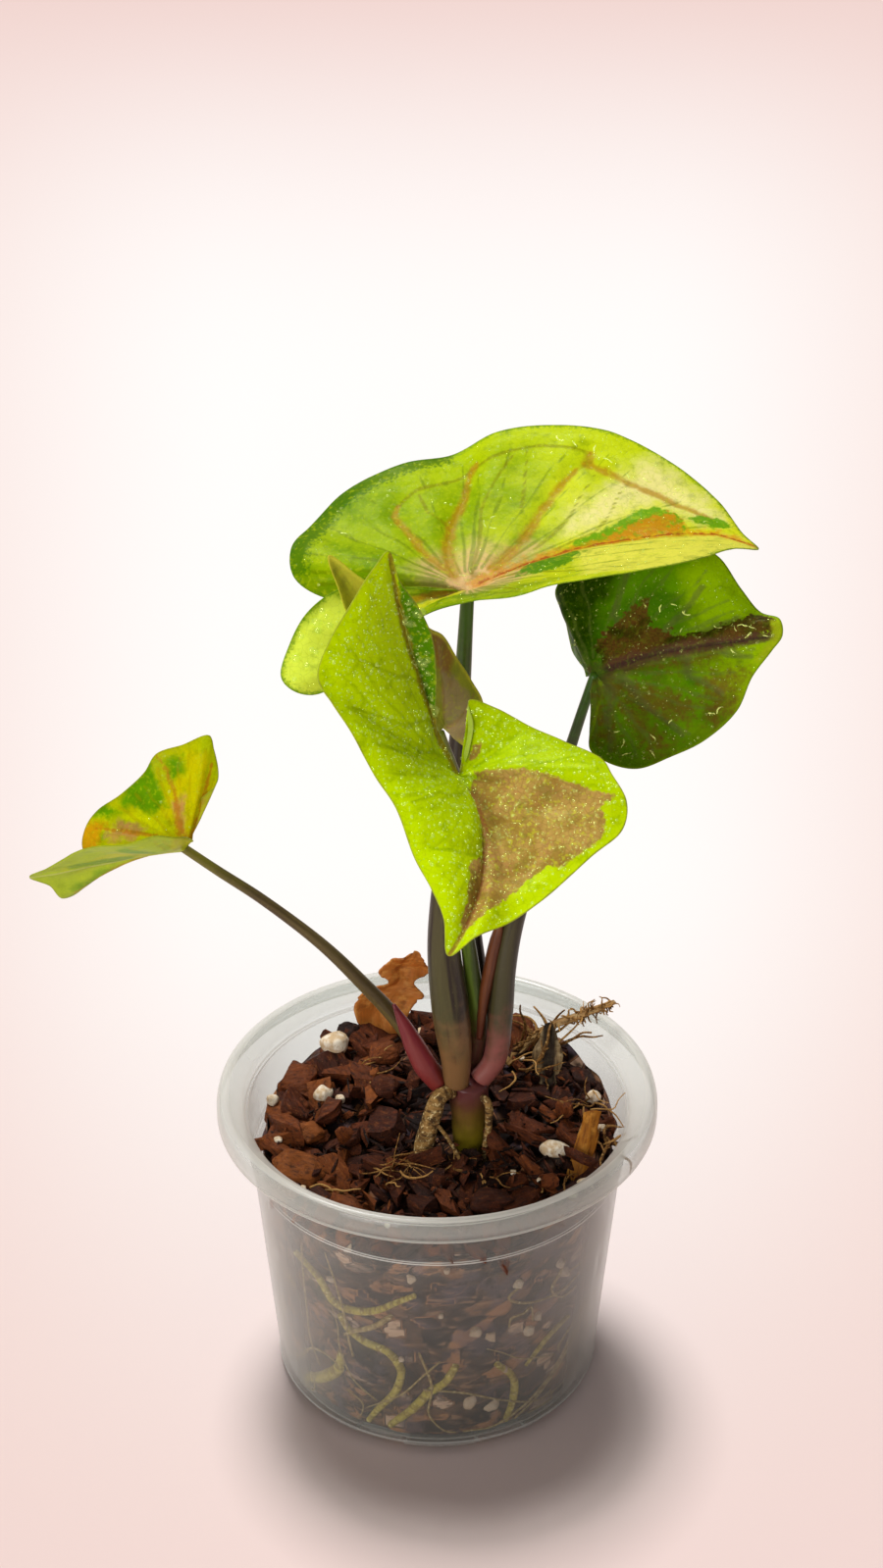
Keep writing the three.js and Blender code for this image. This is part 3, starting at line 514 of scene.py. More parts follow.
            (-58, -9, 160), (-57, -4, 156),
        ],
        "bends": [
            (0, 0, 0), (0, 1, 0), (0, 2, -1), (0, 2, -1), (0, 2, -2), (0, 2, -2), (0, 2, -2), (0, 3, -2),
            (0, 3, -3), (0, 3, -2), (0, 3, -2), (0, 3, -1), (0, 2, -1), (0, 2, 0), (0, 1, 4), (0, 1, 6),
            (0, 0, 6), (0, 0, 4), (0, 0, 1), (0, 0, -1), (0, -1, -2), (0, -2, -3), (0, -2, -3),
            (0, -2, -3), (0, -1, -2), (0, 0, -1), (0, 0, 0),
        ],
        "veins": {
            "rib": [(1.0, 0.4, [(17, .02), (17.4, .4), (17.8, .75), (18, 1)])],
            "side": [
                (0.9, 0.4, [(7.6, .08), (7.8, .3), (7.6, .6)]),
                (0.6, 0.3, [(7.6, .6), (7.8, .85), (8, .98)]),
                (0.5, 0.3, [(11, .1), (11.6, .5), (12, .9)]), (0.5, 0.3, [(4, .1), (4.6, .5), (4.8, .9)]),
                (0.5, 0.3, [(16, .3), (15.8, .7), (15.6, .95)]),
            ],
            "fine": [
                (0.5, 0.3, [(20, .2), (20.6, .6), (20.4, .9)]),
                (0.5, 0.3, [(9.6, .2), (10, .6), (10.4, .9)]),
            ],
        },
        "zones": {
            "green": [
                [(7, .72), (7, .9), (7.6, .9), (7.7, .74)],
                [(8.5, .55), (8.3, 1.04), (9.8, 1.04), (10.4, .86), (9.8, .7), (9.4, .56)],
                [(10.6, .8), (10.6, 1.04), (11.4, 1.04), (11.3, .84)],
                [(12.3, .78), (12.3, .92), (12.9, .92), (12.9, .78)],
                [(17.6, .3), (17.8, .7), (19, .8), (19.6, .4)],
                [(15.2, .5), (15, .8), (16, .9), (16.4, .6)], [(21, .3), (21, .8), (21.8, .9), (22, .4)],
            ],
            "salmon": [
                [(10.9, .46), (11, .72), (12.6, .78), (12.4, .5)],
                [(7.1, .16), (7, .5), (7.9, .52), (7.9, .14)],
            ],
            "orange": [[(11.6, .84), (11.8, 1.04), (13.6, 1.04), (13.4, .82)]],
            "bright": [[(9.6, .3), (10, .7), (10.8, .74), (10.8, .3)]],
            "pale": [[(15, .3), (14, 1.04), (24, 1.04), (23, .4), (19.4, .74), (18, .8), (17.2, .3)]],
        },
    },
    "young": {
        "junction": (1.5, -14, 191.5), "up": (0, 1, 0), "spans": 10, "across": 60,
        "margin": [
            (4, -12, 188.5), (7, -10, 184), (9, -8, 188), (10.5, -8, 194), (7.5, -7, 200),
            (4.5, -8.5, 206), (1.5, -11.5, 213), (-1.5, -16, 217), (-5.5, -21.5, 223),
            (-10.5, -26, 229.5), (-16.5, -29, 235.5), (-22.5, -31, 241), (-20.5, -31, 233),
            (-17.5, -30.5, 224), (-12.5, -29.5, 214.5), (-7.5, -27, 204.5), (-3, -22, 196), (0, -17, 191),
        ],
        "bends": [
            (0, 0, 0), (0, -2, 0), (0, -3, 0), (0, -4, 0), (0, -4, 0), (0, -3, 0), (0, -1, 0), (0, 0, 0),
            (0, 1, 0), (0, 1, 0), (0, 2, 0), (0, 2, 0), (0, 2, 0), (0, 2, 0), (0, 2, 0), (0, 1, 0),
            (0, 1, 0), (0, 0, 0),
        ],
        "veins": {
            "rib": [(0.9, 0.4, [(11, .02), (11, .5), (11, 1)])],
            "side": [
                (0.5, 0.3, [(3, .1), (3.4, .5), (3.6, .9)]), (0.5, 0.3, [(6, .1), (6.4, .5), (6.6, .9)]),
            ],
            "fine": [
                (0.5, 0.3, [(4.6, .1), (5, .5), (5, .9)]), (0.5, 0.3, [(8, .2), (8.6, .6), (9, .9)]),
            ],
        },
        "zones": {
            "spike": [[(9.4, .5), (9.6, 1.04), (13, 1.04), (13, .5)]],
            "curl": [[(5.2, .62), (5.2, 1.04), (8, 1.04), (8, .62)]],
            "beige": [[(0.5, .05), (1, .86), (3, .84), (5, .8), (6.4, .6), (6.8, .1)]],
        },
    },
}

BLADE = {
    "half": 0.22, "margin_half": 0.1, "fade": 4, "quilt": 0.55, "quilt_reach": 2.6, "wave": 0.35,
    "wave_size": 9, "groove": 0.14, "groove_width": 0.55, "side_groove": 0.6, "side_groove_width": 0.4,
    "ridge": 0.4, "ridge_width": 0.7, "ridge_loss": 0.6, "side_ridge": 0.16, "side_ridge_width": 0.5,
}
SAMPLES_PER_VEIN = 160
SAMPLES_PER_EDGE = 20
MARGIN_SAMPLES = 900
FAR = 12
NONE_YET = 1e9
COMPARED_AT_ONCE = 200
RAY = {
    "spacing": 0.8, "first": 0.13, "last": 0.88, "samples": 70, "width": 0.2, "sway": 0.35,
    "sway_turn": 2.3, "ripple": 0.05, "ripple_turn": 17,
}


def on_leaf(leaf, index, share):
    """Points on a leaf's middle surface. share has a value for each index, or one row for a grid."""
    end, bend = (through(leaf[key], index) for key in ("margin", "bends"))
    r = np.asarray(share, float)[..., None]
    if r.ndim == 3:
        end, bend = end[:, None], bend[:, None]
    start = np.array(leaf["junction"], float)
    middle = (start + end) / 2 + bend
    return (1 - r) ** 2 * start + 2 * r * (1 - r) * middle + r * r * end


def nearest(points, line, widths=None):
    """Distance from each point to the nearest sample of a line, over the line's width there."""
    least = np.full(len(points), NONE_YET)
    widths = np.ones(len(line)) if widths is None else widths
    for first in range(0, len(line), COMPARED_AT_ONCE):
        part = line[first:first + COMPARED_AT_ONCE]
        square = np.sum(points ** 2, 1)[:, None] + np.sum(part ** 2, 1)[None] - 2 * points @ part.T
        ratio = np.sqrt(np.maximum(square, 0)) / widths[None, first:first + COMPARED_AT_ONCE]
        least = np.minimum(least, ratio.min(1))
    return least


def samples(places, count):
    """Evenly spread (index, share) pairs along a run of places on a leaf."""
    places = np.array(places, float)
    t = np.linspace(0, len(places) - 1, count)
    return [np.interp(t, np.arange(len(places)), places[:, k]) for k in (0, 1)]


def inside(index, share, corners):
    """Whether grid places lie in an outline of (index, share) corners."""
    found = np.zeros(index.shape, bool)
    previous = corners[-1]
    for corner in corners:
        (x0, y0), (x1, y1) = previous, corner
        crosses = (y0 > share) != (y1 > share)
        slope = (x1 - x0) / (y1 - y0) if y1 != y0 else 0
        found ^= crosses & (index < x0 + slope * (share - y0))
        previous = corner
    return found


def thin_veins(leaf):
    """Thin veins from near the junction towards the margin, a little more than one to a margin point."""
    share = np.linspace(RAY["first"], RAY["last"], RAY["samples"])
    for start in np.arange(1, len(leaf["margin"]) - 2, RAY["spacing"]):
        sway = RAY["sway"] * math.sin(RAY["sway_turn"] * start) * share ** 2
        sway = sway + RAY["ripple"] * np.sin(RAY["ripple_turn"] * share + start)
        yield on_leaf(leaf, start + sway, share)


def vein_fields(leaf, points):
    """For each group of veins, the distance over its width, and in millimetres."""
    fields = {"ray": np.minimum(nearest(points, np.vstack(list(thin_veins(leaf)))) / RAY["width"], FAR)}
    plain = {}
    for group, veins in leaf["veins"].items():
        ratio = np.full(len(points), NONE_YET)
        raw = np.full(len(points), NONE_YET)
        for first_width, last_width, places in veins:
            index, share = samples(places, SAMPLES_PER_VEIN)
            line = on_leaf(leaf, index, share)
            widths = np.linspace(first_width, last_width, SAMPLES_PER_VEIN) / 2
            ratio = np.minimum(ratio, nearest(points, line, widths))
            raw = np.minimum(raw, nearest(points, line))
        fields[group] = np.minimum(ratio, FAR)
        plain[group] = raw
    return fields, plain


def zone_field(leaf, points, index, share, outlines):
    """Millimetres inside an outline, negative outside it."""
    most = np.full(len(points), -NONE_YET)
    for corners in outlines:
        i, r = samples([*corners, corners[0]], SAMPLES_PER_EDGE * (len(corners) + 1))
        distance = nearest(points, on_leaf(leaf, i, np.minimum(r, 1.3)))
        signed = np.where(inside(index, share, corners), distance, -distance)
        most = np.maximum(most, signed)
    return np.clip(most, -FAR, FAR)


def leaf_grids(name):
    """The upper and lower surfaces of a leaf as grids of points, and its fields."""
    leaf = LEAVES[name]
    rows = (len(leaf["margin"]) - 1) * leaf["spans"] + 1
    index = np.linspace(0, len(leaf["margin"]) - 1, rows)
    share = np.linspace(0, 1, leaf["across"] + 1)
    middle = on_leaf(leaf, index, share[None])
    flat = middle.reshape(-1, 3)
    all_index, all_share = (a.ravel() for a in np.meshgrid(index, share, indexing="ij"))
    fields, raw = vein_fields(leaf, flat)
    for key, outlines in leaf["zones"].items():
        fields[key] = zone_field(leaf, flat, all_index, all_share, outlines)
    margin = np.linspace(0, len(leaf["margin"]) - 1, MARGIN_SAMPLES)
    rim = nearest(flat, on_leaf(leaf, margin, np.ones(MARGIN_SAMPLES)))
    fields["rim"] = np.minimum(rim, FAR)
    fields["share"] = all_share

    shape = middle.shape[:2]
    fade = smooth(0, BLADE["fade"], rim)
    near = np.minimum(raw["rib"], raw["side"])
    quilt = BLADE["quilt"] * (1 - np.exp(-(near / BLADE["quilt_reach"]) ** 2)) * fade
    waves = BLADE["wave"] * rough(flat, BLADE["wave_size"], seed=5)
    quilt += waves * (0.4 + 0.6 * smooth(0, 0.4, all_share))
    quilt *= smooth(0, 0.15, all_share)

    def normals(grid):
        n = np.cross(np.gradient(grid, axis=0), np.gradient(grid, axis=1))
        n[:, 0] = n[:, 1:4].sum((0, 1))
        if np.dot(n.sum((0, 1)), leaf["up"]) < 0:
            n = -n
        return unit(n)

    middle = middle + normals(middle) * quilt.reshape(*shape, 1)
    out = normals(middle)
    half = BLADE["margin_half"] + (BLADE["half"] - BLADE["margin_half"]) * fade
    ribs = np.minimum(raw["rib"], raw.get("basal", raw["rib"]))
    bell = {key: np.exp(-(distance / BLADE[key]) ** 2) for key, distance in (
        ("groove_width", ribs), ("side_groove_width", raw["side"]),
        ("ridge_width", ribs), ("side_ridge_width", raw["side"]))}
    groove = bell["groove_width"] + BLADE["side_groove"] * bell["side_groove_width"]
    groove = BLADE["groove"] * groove * fade
    ridge = BLADE["ridge"] * bell["ridge_width"] * (1 - BLADE["ridge_loss"] * all_share)
    ridge = ridge + BLADE["side_ridge"] * bell["side_ridge_width"]
    upper = middle + out * (half - groove).reshape(*shape, 1)
    lower = middle - out * (half + ridge * fade).reshape(*shape, 1)
    return upper, lower, out, fields


def leaf_solid(upper, lower, fields):
    """A closed thin solid from the two surfaces. Each has one point at the junction."""
    rows, columns = upper.shape[:2]
    count = rows * (columns - 1)
    sheets = [upper[:, 1:].reshape(-1, 3), lower[:, 1:].reshape(-1, 3)]
    points = np.vstack([*sheets, upper[0, :1], lower[0, :1]])
    top_centre, low_centre = 2 * count, 2 * count + 1
    quads = grid_faces(rows, columns - 1)
    starts = np.arange(rows) * (columns - 1)
    faces = [quads, quads[:, ::-1] + count]
    fans = np.stack([np.full(rows - 1, top_centre), starts[:-1], starts[1:]], 1)
    low_fans = np.stack([np.full(rows - 1, low_centre), starts[1:] + count, starts[:-1] + count], 1)
    border = np.concatenate([[top_centre], np.arange(columns - 1), starts[1:] + columns - 2,
                             starts[-1] + np.arange(columns - 3, -1, -1)])
    below = np.where(border == top_centre, low_centre, border + count)
    wall = np.stack([np.roll(border, -1), border, below, np.roll(below, -1)], 1)
    faces += [fans, low_fans, wall]
    faces = [tuple(f) for part in faces for f in part]
    kept = {}
    for key, values in fields.items():
        kept[key] = np.concatenate([values.reshape(rows, columns)[:, 1:].ravel()] * 2 + [values[:1]] * 2)
    under = np.zeros(len(points))
    under[count:2 * count] = 1
    under[low_centre] = 1
    kept["under"] = under
    return points, faces, kept


# A coat of paint is (field, where it starts, where it is full, noise size, noise amount, colour, strength).
# lava is the tan, olive, rust and dark of the brown half. under is the underside's colour and strength.
PAINT = {
    "top": {
        "base": ("7aa000", "a8c000"),
        "coats": [
            # Lighter yellow to the right: partly the leaf's own colour, partly painted light where the
            # blade curves away into shade
            ("X", 2, 46, 14, 26, "f0f024", 0.95),
            ("Z", 222, 238, 16, 12, "cbe000", 0.7),
            ("cream", -3.5, 5, 4, 5, "fff2a4", 0.9),
            ("pale", -1.5, 1.5, 4, 3, "f8f05e", 0.85),
            ("share", 0.4, 0.08, 6, 0.22, "ffd096", 0.95),
            ("ray", 3, 0.7, 6, 3, "748a00", 0.65),
            ("fine", 3.2, 0.7, 4, 2, "8f8a00", 0.65),
            ("side", 5.4, 0.9, 3, 4, "c08c14", 0.8),
            ("green", -0.5, 0.5, 2.4, 2.4, "6eaa00", 0.95),
            ("orange", -1.2, 1.4, 2, 6, "e8880c", 0.75),
            ("patch", -0.7, 0.7, 2, 4, "4f9006", 0.9),
            ("rib", 7, 1.4, 2.4, 8, "e8940a", 0.7),
            ("rib", 1.8, 0.6, 1.6, 3, "b8421a", 0.8),
            ("yellow", -0.8, 0.8, 3, 1.5, "f4ec1e", 0.9),
            # Painted light: the front-left lobe, which lies in shade, is painted a lighter yellow-green
            ("lobe", -1, 3, 6, 3, "eefc54", 0.92),
            ("rim", 1.2, 0, 0.9, 2.4, "4f8c08", 0.6),
            ("dark", -0.4, 1.6, 0.9, 4, "2f6a08", 0.75),
            ("rim", 0.4, 0.12, 3, 0.3, "6f9414", 0.7),
        ],
        "under": ("a8bf3a", 0.6),
    },
    "front": {
        "base": ("a8c800", "bcd800"),
        "coats": [
            ("Z", 214, 176, 14, 20, "cde600", 0.95),
            # Painted light: the lobe on the left is painted a lighter lime
            ("X", 7, -1, 5, 4, "d4f200", 0.9),
            ("ray", 3, 0.6, 5, 3, "93b000", 0.35),
            ("fine", 4, 0.6, 4, 2, "8aa404", 0.45),
            ("side", 3, 0.6, 4, 2, "93b208", 0.5),
            ("lava", -0.35, 0.25, 1.5, 1.4, "b08a34", 1),
            # Darker green on the inner strip of the fold: partly the leaf's own green, partly painted shade
            # where the strip faces away
            ("dark", -0.6, 0.5, 2, 1.4, "4a8408", 0.95),
            ("basal", 3.6, 1.6, 2, 2.4, "9c8420", 0.9),
            ("rib", 2.8, 0.8, 3, 1.6, "9a5c34", 0.8),
            ("rim", 0.4, 0.12, 3, 0.3, "a09440", 0.6),
        ],
        "lava": ("b8924c", "9c7a34", "b07a4a", "846428"),
        "under": ("b4c85a", 0.6),
    },
    "right": {
        "base": ("4c8008", "6ca600"),
        "coats": [
            ("X", 50, 74, 9, 16, "aed004", 0.85),
            ("Z", 203, 186, 8, 10, "5f7f0c", 0.6),
            # Darker green to the upper left: partly the leaf's own colour, partly painted shade in the
            # hollow there
            ("dark", -4, 3, 8, 5, "213c00", 0.95),
            ("bright", -2, 2, 3, 3, "a6ce04", 0.95),
            ("streak", -3.5, 3, 1.5, 7, "7a4222", 0.72),
            ("ray", 3, 0.6, 5, 4, "6f7c3a", 0.4),
            ("side", 5, 1, 3, 5, "6c6840", 0.5),
            ("lava", -0.4, 0.4, 1.4, 3.4, "5f4a14", 1),
            ("rib", 5, 1.6, 3, 4, "5e3c30", 0.85),
            ("rib", 1.6, 0.4, 3, 0.6, "40282a", 0.75),
            ("share", 0.1, 0.02, 4, 0.05, "4a6a1c", 0.8),
            ("tip", -0.8, 1.2, 3, 1.5, "b6c41c", 0.85),
            ("rim", 0.7, 0.15, 3, 0.5, "8fae12", 0.6),
        ],
        "lava": ("60441a", "343406", "62361c", "342a0e"),
        "under": ("7d9455", 0.6),
    },
    "left": {
        "base": ("d8cc00", "bfc800"),
        "coats": [
            ("share", 0.8, 1, 6, 0.3, "a8bc04", 0.5),
            ("pale", -0.6, 0.6, 5, 2, "b6ca34", 0.85),
            ("bright", -1.5, 1.5, 5, 2, "eef000", 0.9),
            ("green", -1.4, 1.2, 4, 3, "5c9c02", 0.9),
            ("orange", -1.4, 1.2, 3, 3, "e0a00c", 0.9),
            ("salmon", -1.2, 1, 2.4, 2.4, "d2925c", 0.85),
            ("ray", 3, 0.6, 4, 3, "b89a04", 0.35),
            ("side", 4, 1, 2, 5, "c47d14", 0.75),
            ("rib", 3, 0.8, 3, 1, "dcdc9a", 0.7),
            ("rim", 0.5, 0.1, 3, 0.3, "8d8a14", 0.6),
        ],
        "under": ("bcd04c", 0.34),
    },
    "young": {
        "base": ("9aa60c", "aab218"),
        "coats": [
            ("beige", -1, 1, 4, 2, "b8a27c", 0.85),
            ("spike", -1.5, 1.5, 4, 3, "ccc41c", 0.85),
            ("curl", -1.5, 1.5, 4, 2, "9c6a14", 0.85),
            ("side", 3, 0.6, 3, 2, "a8854a", 0.6),
            ("rim", 1.2, 0.4, 3, 0.5, "dcd830", 0.9),
        ],
        "under": ("bfa884", 0.15),
    },
}


# Strength and colour of the specks, and of the tint of the light that comes through
LIME_TISSUE = (0.35, "d4e01c", 0.45, "cfe600")
DARK_TISSUE = (0.16, "8fa828", 0.3, "9fd000")
# How much light a leaf lets through, and how much of it the brown half does
CLEAR_PART, BROWN_PART = 0.3, 0.14


def leaf_material(name):
    paint = PAINT[name]
    speck_part, speck_code, glow_part, glow_code = DARK_TISSUE if name == "right" else LIME_TISSUE
    r = Recipe(f"leaf_{name}")
    deep, light = paint["base"]
    colour = r.tint(deep, light, r.noise(14, 4), 0.38, 0.62)
    through_part = CLEAR_PART
    for field, start, full, size, amount, code, strength in paint["coats"]:
        place = r.math("ADD", r.field(field), r.wobble(2 * amount, size, 4, 0.6))
        mask = r.step(place, start, full, 0, strength)
        over = code
        if field == "lava":
            tan, olive, rust, dark = paint["lava"]
            over = r.tint(tan, olive, r.noise(7, 4), 0.42, 0.6)
            over = r.tint(over, rust, r.noise(5, 4), 0.5, 0.68, 0.55)
            over = r.tint(over, dark, r.cells(1.5, "DISTANCE_TO_EDGE"), 0.09, 0.01, 0.45)
            through_part = r.step(mask, 0, 1, CLEAR_PART, BROWN_PART)
        colour = r.mix(mask, colour, over)
    # Fine specks, a darker mottle and the net of the smallest veins
    net = r.cells(2.1, "DISTANCE_TO_EDGE")
    colour = r.tint(colour, speck_code, r.noise(1.1, 2), 0.52, 0.7, speck_part)
    colour = r.tint(colour, "4a6c00", r.noise(3.6, 4, 0.65), 0.5, 0.3, 0.3)
    colour = r.tint(colour, "5f7d0a", net, 0.07, 0, 0.14)
    pale, amount = paint["under"]
    colour = r.mix(r.math("MULTIPLY", r.field("under"), amount), colour, pale)

    relief = r.math("ADD", r.math("MULTIPLY", net, 0.5), r.noise(0.9, 3))
    skin = r.bump(relief, 0.12, 0.55)
    wet = r.bump(r.noise(2.6, 2, 0.4), 0.7, 0.6, skin)
    satin = r.step(r.noise(5, 3), 0.3, 0.7, 0.36, 0.5)
    body = r.shader("Principled", Base_Color=colour, Roughness=satin, Normal=skin, Specular_IOR_Level=0.1,
                    Specular_Tint="e8ff40", Coat_Weight=0.02, Coat_Roughness=0.1, Coat_Normal=wet)
    glow = r.mix(glow_part, colour, glow_code, "OVERLAY")
    return r.done(r.blend(through_part, body, r.shader("Translucent", Color=glow, Normal=skin)))


surfaces = {}
for leaf_name in LEAVES:
    upper_grid, lower_grid, out_grid, leaf_fields = leaf_grids(leaf_name)
    surfaces[leaf_name] = (upper_grid, out_grid)
    solid_points, solid_faces, solid_fields = leaf_solid(upper_grid, lower_grid, leaf_fields)
    make(f"leaf_{leaf_name}", solid_points, solid_faces, leaf_material(leaf_name),
         [f"blade_{leaf_name}"], solid_fields)


# Water drops: low domes that lie on the upper side of the leaves

# How much pale diffuse layer a drop on each leaf has, and a streak: a painted glow on the drops and painted
# glints on the streaks
PAINTED_DROP_GLOW = {"top": 0.2, "front": 0.2, "right": 0.12, "left": 0.15, "young": 0.2}
PAINTED_GLINT = {"top": 0.6, "front": 0.14, "right": 0.7}
DOME_SIDES = 7
# Rings from foot to shoulder: share of the width, share of the height
DOME_RINGS = [(0.97, -0.12), (1, 0.04), (0.72, 0.64)]
DOME_FACES = capped_faces(len(DOME_RINGS), DOME_SIDES)
DROP = {"reach": 0.97, "length": (1, 0.35), "height": (0.3, 0.12), "milk": (0.4, 1)}
STREAK = {
    "length": 0.5, "step": 0.32, "width": (0.3, 1.2, 1.5), "turn": 0.24, "overlap": 2.6, "height": 0.35,
    "milk": (0.6, 0.8), "first_seed": 100,
}
WHOLE_LEAF = (-1, 99, -1)


def dome(centre, out, along, length, width, height):
    """A closed drop on a surface. Its profile is the same both ways, stretched to length and width."""
    side = np.cross(out, along)
    turn = circle(DOME_SIDES)
    ring = np.cos(turn)[:, None] * along * length / 2 + np.sin(turn)[:, None] * side * width / 2
    rings = [centre + part * ring + z * height * out for part, z in DOME_RINGS]
    return np.vstack(rings + [[centre + DOME_RINGS[0][1] * height * out], [centre + height * out]])


def scatter_drops(batch, name, count, sizes, seed, part=WHOLE_LEAF):
    """Drops spread evenly over a leaf, or over the part between two margin points and past a share."""
    upper_side, out = surfaces[name]
    random = np.random.default_rng(seed)
    du = np.diff(upper_side, axis=0)[:, :-1]
    dv = np.diff(upper_side, axis=1)[:-1]
    area = np.linalg.norm(np.cross(du, dv), axis=2)
    rows, columns = area.shape
    index = np.arange(rows)[:, None] / LEAVES[name]["spans"]
    share = np.arange(columns)[None] / columns
    first, last, least = part
    area = area * (share < DROP["reach"]) * ((index > first) & (index < last) & (share > least))
    for cell in random.choice(area.size, count, p=(area / area.sum()).ravel()):
        i, j = divmod(int(cell), columns)
        centre = upper_side[i, j] + random.random() * du[i, j] + random.random() * dv[i, j]
        normal = out[i, j]
        size = drawn(random, sizes[0], sizes[1] - sizes[0], 3)
        along = unit(np.cross(normal, random.normal(size=3)))
        length = size * drawn(random, *DROP["length"])
        height = size * drawn(random, *DROP["height"])
        # Drops wider than a millimetre get less of the pale diffuse layer, a painted glow
        milk = PAINTED_DROP_GLOW[name] * drawn(random, *DROP["milk"]) / max(1, size)
        batch.add(dome(centre, normal, along, length, size, height), DOME_FACES, milk=milk)


def streak(batch, name, index, share, length, seed):
    """A wandering thread of water: a chain of flat drops that run into each other."""
    leaf = LEAVES[name]
    upper_side, out = surfaces[name]
    random = np.random.default_rng(seed)
    row = int(index * leaf["spans"])
    column = int(share * leaf["across"])
    heading = unit(np.cross(out[row, column], random.normal(size=3)))
    place = upper_side[row, column].copy()
    flat = upper_side.reshape(-1, 3)
    flat_out = out.reshape(-1, 3)
    for _ in range(max(2, int(STREAK["length"] * length / STREAK["step"]))):
        k = int(np.argmin(np.sum((flat - place) ** 2, axis=1)))
        normal = flat_out[k]
        heading = unit(heading + STREAK["turn"] * random.normal(size=3))
        heading = unit(heading - np.dot(heading, normal) * normal)
        centre = place - np.dot(place - flat[k], normal) * normal
        size = STREAK["step"] * drawn(random, *STREAK["width"])
        points = dome(centre, normal, heading, STREAK["overlap"] * size, size, STREAK["height"] * size)
        # Each part of a thread gets a pale diffuse layer: painted glints
        batch.add(points, DOME_FACES, milk=PAINTED_GLINT[name] * drawn(random, *STREAK["milk"]))
        place = centre + heading * STREAK["step"]


def water_material():
    r = Recipe("water")
    clear = r.shader("Transparent", Color="f6faf0")
    shine = r.shader("Glossy", Color="f0ff9c", Roughness=0.05)
    # The diffuse layer, as much as each piece's field sets, is painted light: a glow on the drops and
    # glints on the streaks
    diffuse_layer = r.shader("Diffuse", Color="eef890")
    body = r.blend(r.field("milk"), clear, diffuse_layer)
    return r.done(r.blend(r.grazing(0.06, 0.3, 4), body, shine))


# Sets of drops: leaf, how many, smallest and largest width, seed, and the part of the leaf if not all of it
SCATTERED = [
    ("front", 2600, (0.34, 0.9), 21), ("front", 22, (1.4, 2.8), 22, (1.6, 6, 0.2)),
    ("top", 520, (0.34, 0.9), 23), ("top", 26, (1.2, 2.6), 24, (25, 31, 0.5)),
    ("right", 640, (0.3, 0.8), 25), ("left", 30, (0.4, 0.9), 26), ("young", 40, (0.4, 0.9), 27),
]
# Streaks of each leaf: margin point, share of the way to it, length
STREAKS = {
    "top": [
        (12, .9, 6), (12.3, .86, 5), (11.4, .9, 5), (11, .8, 5), (10.3, .4, 4), (10.8, .38, 3),
        (11, .55, 3), (8, .12, 3), (10, .12, 3), (13.2, .86, 4), (14.6, .9, 3), (6, .8, 3), (12.6, .6, 2),
        (11.7, .88, 4), (12.8, .84, 3), (13.6, .9, 3), (10.6, .46, 3), (13, .7, 2), (30, .7, 3),
    ],
    "front": [
        (23, .45, 4), (22.4, .5, 4), (22, .55, 5), (22.6, .6, 3), (24, .36, 4), (22.8, .86, 3),
        (21.6, .76, 3), (24.4, .4, 3), (23.6, .62, 3), (16, .5, 2), (21, .5, 3),
    ],
    "right": [
        (8, .55, 4), (8.3, .6, 3), (9, .65, 4), (7.4, .5, 3), (10.5, .72, 5), (11, .82, 5),
        (11.4, .86, 4), (11.8, .8, 4), (11.2, .76, 3), (13, .8, 4), (15, .9, 5), (15.3, .86, 3),
        (18, .7, 4), (17, .8, 4), (17.4, .88, 5), (18.3, .86, 4), (18, .6, 3), (11.9, .9, 4), (16, .7, 2),
        (9.6, .56, 3),
    ],
}
drops = Batch()
for leaf_name, *drop_set in SCATTERED:
    scatter_drops(drops, leaf_name, *drop_set)
for leaf_name, runs in STREAKS.items():
    for number, (index, share, length) in enumerate(runs):
        streak(drops, leaf_name, index, share, length, STREAK["first_seed"] + number)
water_drops = drops.make("water_drops", water_material(), "leaf_lime")
# Drops this thin cast no shadow that shows
water_drops.visible_shadow = False


# Stalks and roots

FIRST_SIDE = (0.3, 1, 0.1)
LUMP_SIZE = 2.6
LEAST_STEPS = 8
LENGTH_STEPS = 10


def tube(path, radii, sides=28, step=0.8, wobble=0.0, seed=0, closed_ends=0.5):
    """A round stalk along a curve. Returns its points, faces and fields."""
    _, length = evenly(path, LENGTH_STEPS)
    count = max(LEAST_STEPS, int(length / step))
    centres, _ = evenly(path, count)
    t = np.linspace(0, 1, count + 1)
    radius = np.interp(t, np.linspace(0, 1, len(radii)), radii)
    kernel = np.hanning(max(5, count // 8 * 2 + 1))
    kernel /= kernel.sum()
    radius = np.convolve(np.pad(radius, len(kernel) // 2, mode="edge"), kernel, "valid")
    tangent = unit(np.gradient(centres, axis=0))
    side = np.zeros_like(centres)
    side[0] = unit(np.cross(tangent[0], FIRST_SIDE))
    for k in range(1, count + 1):
        side[k] = unit(side[k - 1] - np.dot(side[k - 1], tangent[k]) * tangent[k])
    other = np.cross(tangent, side)
    turn = circle(sides)
    ring = np.cos(turn)[None, :, None] * side[:, None] + np.sin(turn)[None, :, None] * other[:, None]
    reach = np.repeat(radius[:, None], sides, 1)
    if wobble:
        skin = centres[:, None] + ring * radius[:, None, None]
        reach = reach * (1 + wobble * rough(skin, LUMP_SIZE, seed))
    body = centres[:, None] + ring * reach[..., None]
    grain = np.stack([np.cos(turn)[None] * radius[:, None], np.sin(turn)[None] * radius[:, None],
                      np.repeat((t * length)[:, None], sides, 1)], 2) * MM
    ends = [centres[0] - tangent[0] * radius[0] * closed_ends,
            centres[-1] + tangent[-1] * radius[-1] * closed_ends]
    tips = np.array([[0, 0, 0], [0, 0, length * MM]])
    fields = {
        "grain": np.vstack([grain.reshape(-1, 3), tips]),
        "along": np.concatenate([np.repeat(t, sides), [0, 1]]),
    }
    return np.vstack([body.reshape(-1, 3), ends]), capped_faces(count + 1, sides), fields


